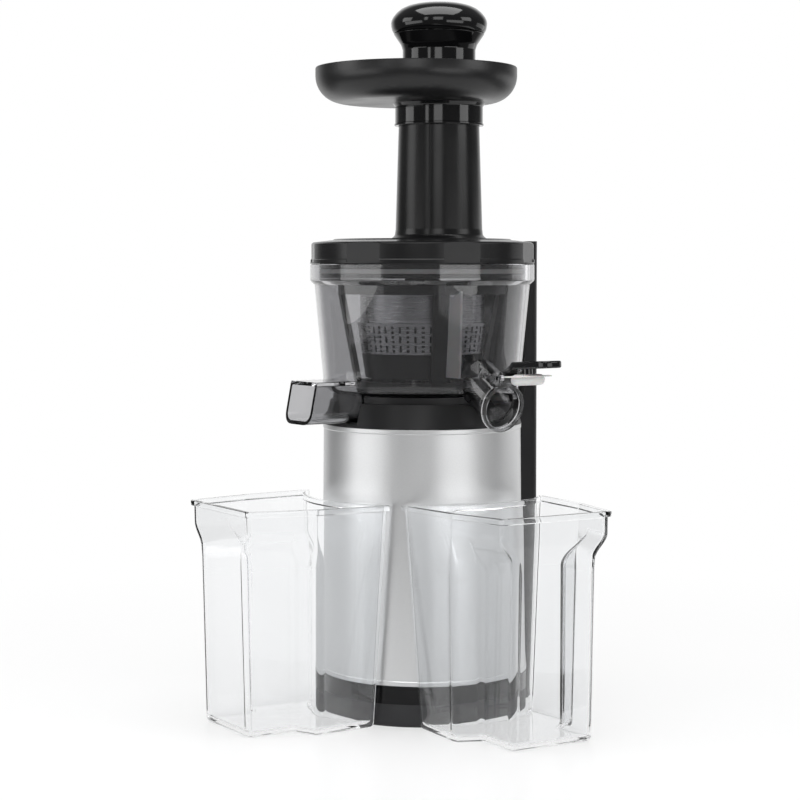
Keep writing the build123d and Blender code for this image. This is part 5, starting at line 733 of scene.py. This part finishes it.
def drum_hole(column, row):
    z = (drum_heights[row] + drum_heights[row + 1]) / 2
    spans = {0: slits, 2: dots}.get(column % 4, [])
    return any(low < z < high for low, high in spans)


drum = lattice("drum_slotted", drum_angles, drum_heights, cage_radius, drum_hole)
thick = drum.modifiers.new("wall", "SOLIDIFY")
thick.thickness = DRUM_WALL * MM
thick.offset = -1
bake(drum)
drum_rim = [(37.3, 234.6), (39.3, 234.6), (39.5, 236.0), (37.3, 236.0)]
drum_rim = rounded(drum_rim, [0, 0.2, 0.3, 0.2], 3)
join(drum, solid("rim", *turned(drum_rim, 208)))
dress(drum, steel, "bowl", "strainer_drum", 30)

# fine band above it: small square holes set like a chess board
step = 2 * math.pi / MESH_COLUMNS
mesh_angles = [step * (k + part) for k in range(MESH_COLUMNS) for part in (0, 0.24)]
mesh_heights = [237.0 + 0.8 * k + part for k in range(MESH_ROWS) for part in (0, 0.2)]
mesh_heights = [MESH_LOW] + mesh_heights + [MESH_HIGH]


def mesh_hole(column, row):
    between_wires = column % 2 == 1 and row % 2 == 0 and 0 < row < 2 * MESH_ROWS
    return between_wires and (column // 2 + row // 2) % 2 == 0


fine = lattice("mesh_perforated", mesh_angles, mesh_heights, lambda z: MESH_RADIUS, mesh_hole)
dress(fine, steel, "bowl", "strainer_mesh", 30)

# ---------------------------------------------------------------- wiper blades

WIPER_ARMS = (-22.5, 157.5)
BLADE_HEIGHTS = (204.0, 214.0, 224.0, 234.0, 243.5)
BLADE_TOP, BLADE_RISE = 250.0, 5.0
LIP_HEIGHTS = (206.0, 217.0, 234.0)
WALL_GAP = 3.5


def arm_radius(z):
    return 40.5 + (z - 197.0) / 56.0 * 10.5


def swung(x, y, angle):
    """A point turned about the upright axis."""
    c, s = math.cos(math.radians(angle)), math.sin(math.radians(angle))
    return x * c - y * s, x * s + y * c


def blade_ring(z, angle, rise=0.0):
    """Section of a wiper blade: it starts beside the arm and trails to the bowl's wall."""
    a = arm_radius(z)
    tip = math.sqrt((wall_radius(z) - WALL_GAP) ** 2 - 100)
    flat = [(a - 2.6, 4.6), (a + 0.2, 4.6), (tip, 8.5), (tip + 0.1, 9.9), (a - 0.3, 6.2),
            (a - 2.6, 6.2)]
    return [(*swung(x, y, angle), z + rise * (x - a) / (tip - a)) for x, y in flat]


def lip_ring(z, angle):
    """Section of the short inner lip between an arm and the strainer."""
    near = (34.5 + (z - 202.4) / 14.6 * 2.3 if z < 217 else cage_radius(z)) + 0.9
    far = arm_radius(z) - 3.1
    flat = ((near, -0.8), (far, -0.8), (far, 0.8), (near, 0.8))
    return [(*swung(x, y, angle), z) for x, y in flat]


verts, faces = [], []
for angle in WIPER_ARMS:
    blade = [blade_ring(z, angle) for z in BLADE_HEIGHTS]
    blade.append(blade_ring(BLADE_TOP, angle, BLADE_RISE))
    lip = [lip_ring(z, angle) for z in LIP_HEIGHTS]
    for rings in (blade, lip):
        points, sides = skinned(rings)
        faces += [tuple(i + len(verts) for i in face) for face in sides]
        verts += points
blades = solid("wiper_blades", verts, faces)
round_edges(blades, 0.25, 2)
dress(blades, white_silicone, "brush", "brush_wipers", 50)

# ---------------------------------------------------------------- stage

scene.view_settings.view_transform = "Standard"

# the camera's side of the machine, and the direction to the right of the picture
FACING = math.radians(55)
toward = Vector((math.sin(FACING), -math.cos(FACING), 0))
rightward = Vector((math.cos(FACING), math.sin(FACING), 0))


def maths(tree, operation, first, second):
    node = tree.nodes.new("ShaderNodeMath")
    node.operation = operation
    link(tree, first, node.inputs[0])
    link(tree, second, node.inputs[1])
    return node.outputs[0]


def ranged(tree, value, from_min, from_max, to_min, to_max):
    """Map a value from one range to another, with soft ends."""
    node = tree.nodes.new("ShaderNodeMapRange")
    node.interpolation_type = "SMOOTHSTEP"
    node.inputs["From Min"].default_value = from_min
    node.inputs["From Max"].default_value = from_max
    node.inputs["To Min"].default_value = to_min
    node.inputs["To Max"].default_value = to_max
    link(tree, value, node.inputs["Value"])
    return node.outputs["Result"]


def seen(tree, *rays):
    """1 where the background is looked at by one of these kinds of ray."""
    path = tree.nodes.new("ShaderNodeLightPath")
    result = path.outputs[rays[0]]
    for ray in rays[1:]:
        result = maths(tree, "MAXIMUM", result, path.outputs[ray])
    return result


# floor: pale, with a soft shadow near the machine, and white further out
bpy.ops.mesh.primitive_plane_add(size=1.3, location=(0, 0, 0))
floor = bpy.context.object
floor.name = "floor"
floor_material, floor_tree, floor_shader = new_material("floor")
floor_shader.inputs["Base Color"].default_value = (0.92, 0.92, 0.92, 1)
floor_shader.inputs["Roughness"].default_value = 0.25
floor_shader.inputs["Specular IOR Level"].default_value = 0.25
place = floor_tree.nodes.new("ShaderNodeTexCoord")
reach = floor_tree.nodes.new("ShaderNodeVectorMath")
reach.operation = "LENGTH"
link(floor_tree, place.outputs["Object"], reach.inputs[0])
away = ranged(floor_tree, reach.outputs["Value"], 0.16, 0.6, 0.55, 1.0)
looked_at = seen(floor_tree, "Is Camera Ray", "Is Transmission Ray", "Is Glossy Ray")
white = floor_tree.nodes.new("ShaderNodeEmission")
blend = floor_tree.nodes.new("ShaderNodeMixShader")
link(floor_tree, maths(floor_tree, "MULTIPLY", away, looked_at), blend.inputs["Fac"])
link(floor_tree, floor_shader.outputs["BSDF"], blend.inputs[1])
link(floor_tree, white.outputs["Emission"], blend.inputs[2])
floor_output = floor_tree.nodes["Material Output"]
link(floor_tree, blend.outputs["Shader"], floor_output.inputs["Surface"])
floor.data.materials.append(floor_material)

# studio: a white wall behind, darker towards the camera's side, plain white where it is seen
world = bpy.data.worlds.new("world")
scene.world = world
world.use_nodes = True
studio = world.node_tree
background = studio.nodes["Background"]
background.inputs["Color"].default_value = (1, 1, 1, 1)
outward = studio.nodes.new("ShaderNodeTexCoord")
facing = studio.nodes.new("ShaderNodeVectorMath")
facing.operation = "DOT_PRODUCT"
facing.inputs[1].default_value = toward
link(studio, outward.outputs["Generated"], facing.inputs[0])
wall_light = ranged(studio, facing.outputs["Value"], -0.93, -0.62, 1.0, 0.15)
plain = seen(studio, "Is Camera Ray", "Is Transmission Ray")
link(studio, maths(studio, "MAXIMUM", wall_light, plain), background.inputs["Strength"])

# ---------------------------------------------------------------- lights, in metres and watts

BOX_AWAY = 1.5
# low, wide boxes for the body; narrower ones above them for the tube and the tray
LOW_BOX = {"height": 0.18, "tall": 0.38, "aim_z": 0.15}
HIGH_BOX = {"height": 0.76, "tall": 0.70, "aim_z": 0.36}
TOP_BOX = {"height": 1.6, "tall": 1.2, "aim_z": 0.22}


def softbox(name, angle, width, power, distance, height, tall, aim_z):
    """Area light facing the machine, its angle counted from the camera's side."""
    around = Matrix.Rotation(math.radians(angle), 4, "Z") @ toward
    spot = around * distance + lift(height)
    lamp = bpy.data.lights.new(name, "AREA")
    lamp.shape = "RECTANGLE"
    lamp.size = width
    lamp.size_y = tall
    lamp.energy = power
    holder = bpy.data.objects.new(name, lamp)
    scene.collection.objects.link(holder)
    holder.location = spot
    holder.rotation_euler = (lift(aim_z) - spot).to_track_quat("-Z", "Y").to_euler()
    holder.visible_camera = False


softbox("low_left", -66, 1.35, 3.6, BOX_AWAY, **LOW_BOX)
softbox("low_right", 38, 1.15, 3.1, BOX_AWAY, **LOW_BOX)
softbox("low_far_right", 122, 1.1, 1.2, BOX_AWAY, **LOW_BOX)
softbox("high_far_left", -84, 0.75, 4.4, BOX_AWAY, **HIGH_BOX)
softbox("high_left", -32, 0.22, 1.3, BOX_AWAY, **HIGH_BOX)
softbox("high_middle", -3, 0.60, 3.5, BOX_AWAY, **HIGH_BOX)
softbox("high_right", 68, 0.72, 4.4, BOX_AWAY, **HIGH_BOX)
softbox("top_box", 0, 1.4, 22.0, 0.2, **TOP_BOX)

# ---------------------------------------------------------------- camera

CAMERA_AWAY, CAMERA_LEFT, CAMERA_HEIGHT = 1.237, 0.0135, 0.270
CAMERA_DOWN = math.radians(2.44)

camera_data = bpy.data.cameras.new("camera")
camera = bpy.data.objects.new("camera", camera_data)
scene.collection.objects.link(camera)
scene.camera = camera
camera_data.sensor_width = 36
camera_data.lens = 91.35
camera_data.shift_y = -0.06
camera.location = toward * CAMERA_AWAY - rightward * CAMERA_LEFT + lift(CAMERA_HEIGHT)
direction = -toward + lift(-math.tan(CAMERA_DOWN))
camera.rotation_euler = direction.to_track_quat("-Z", "Y").to_euler()
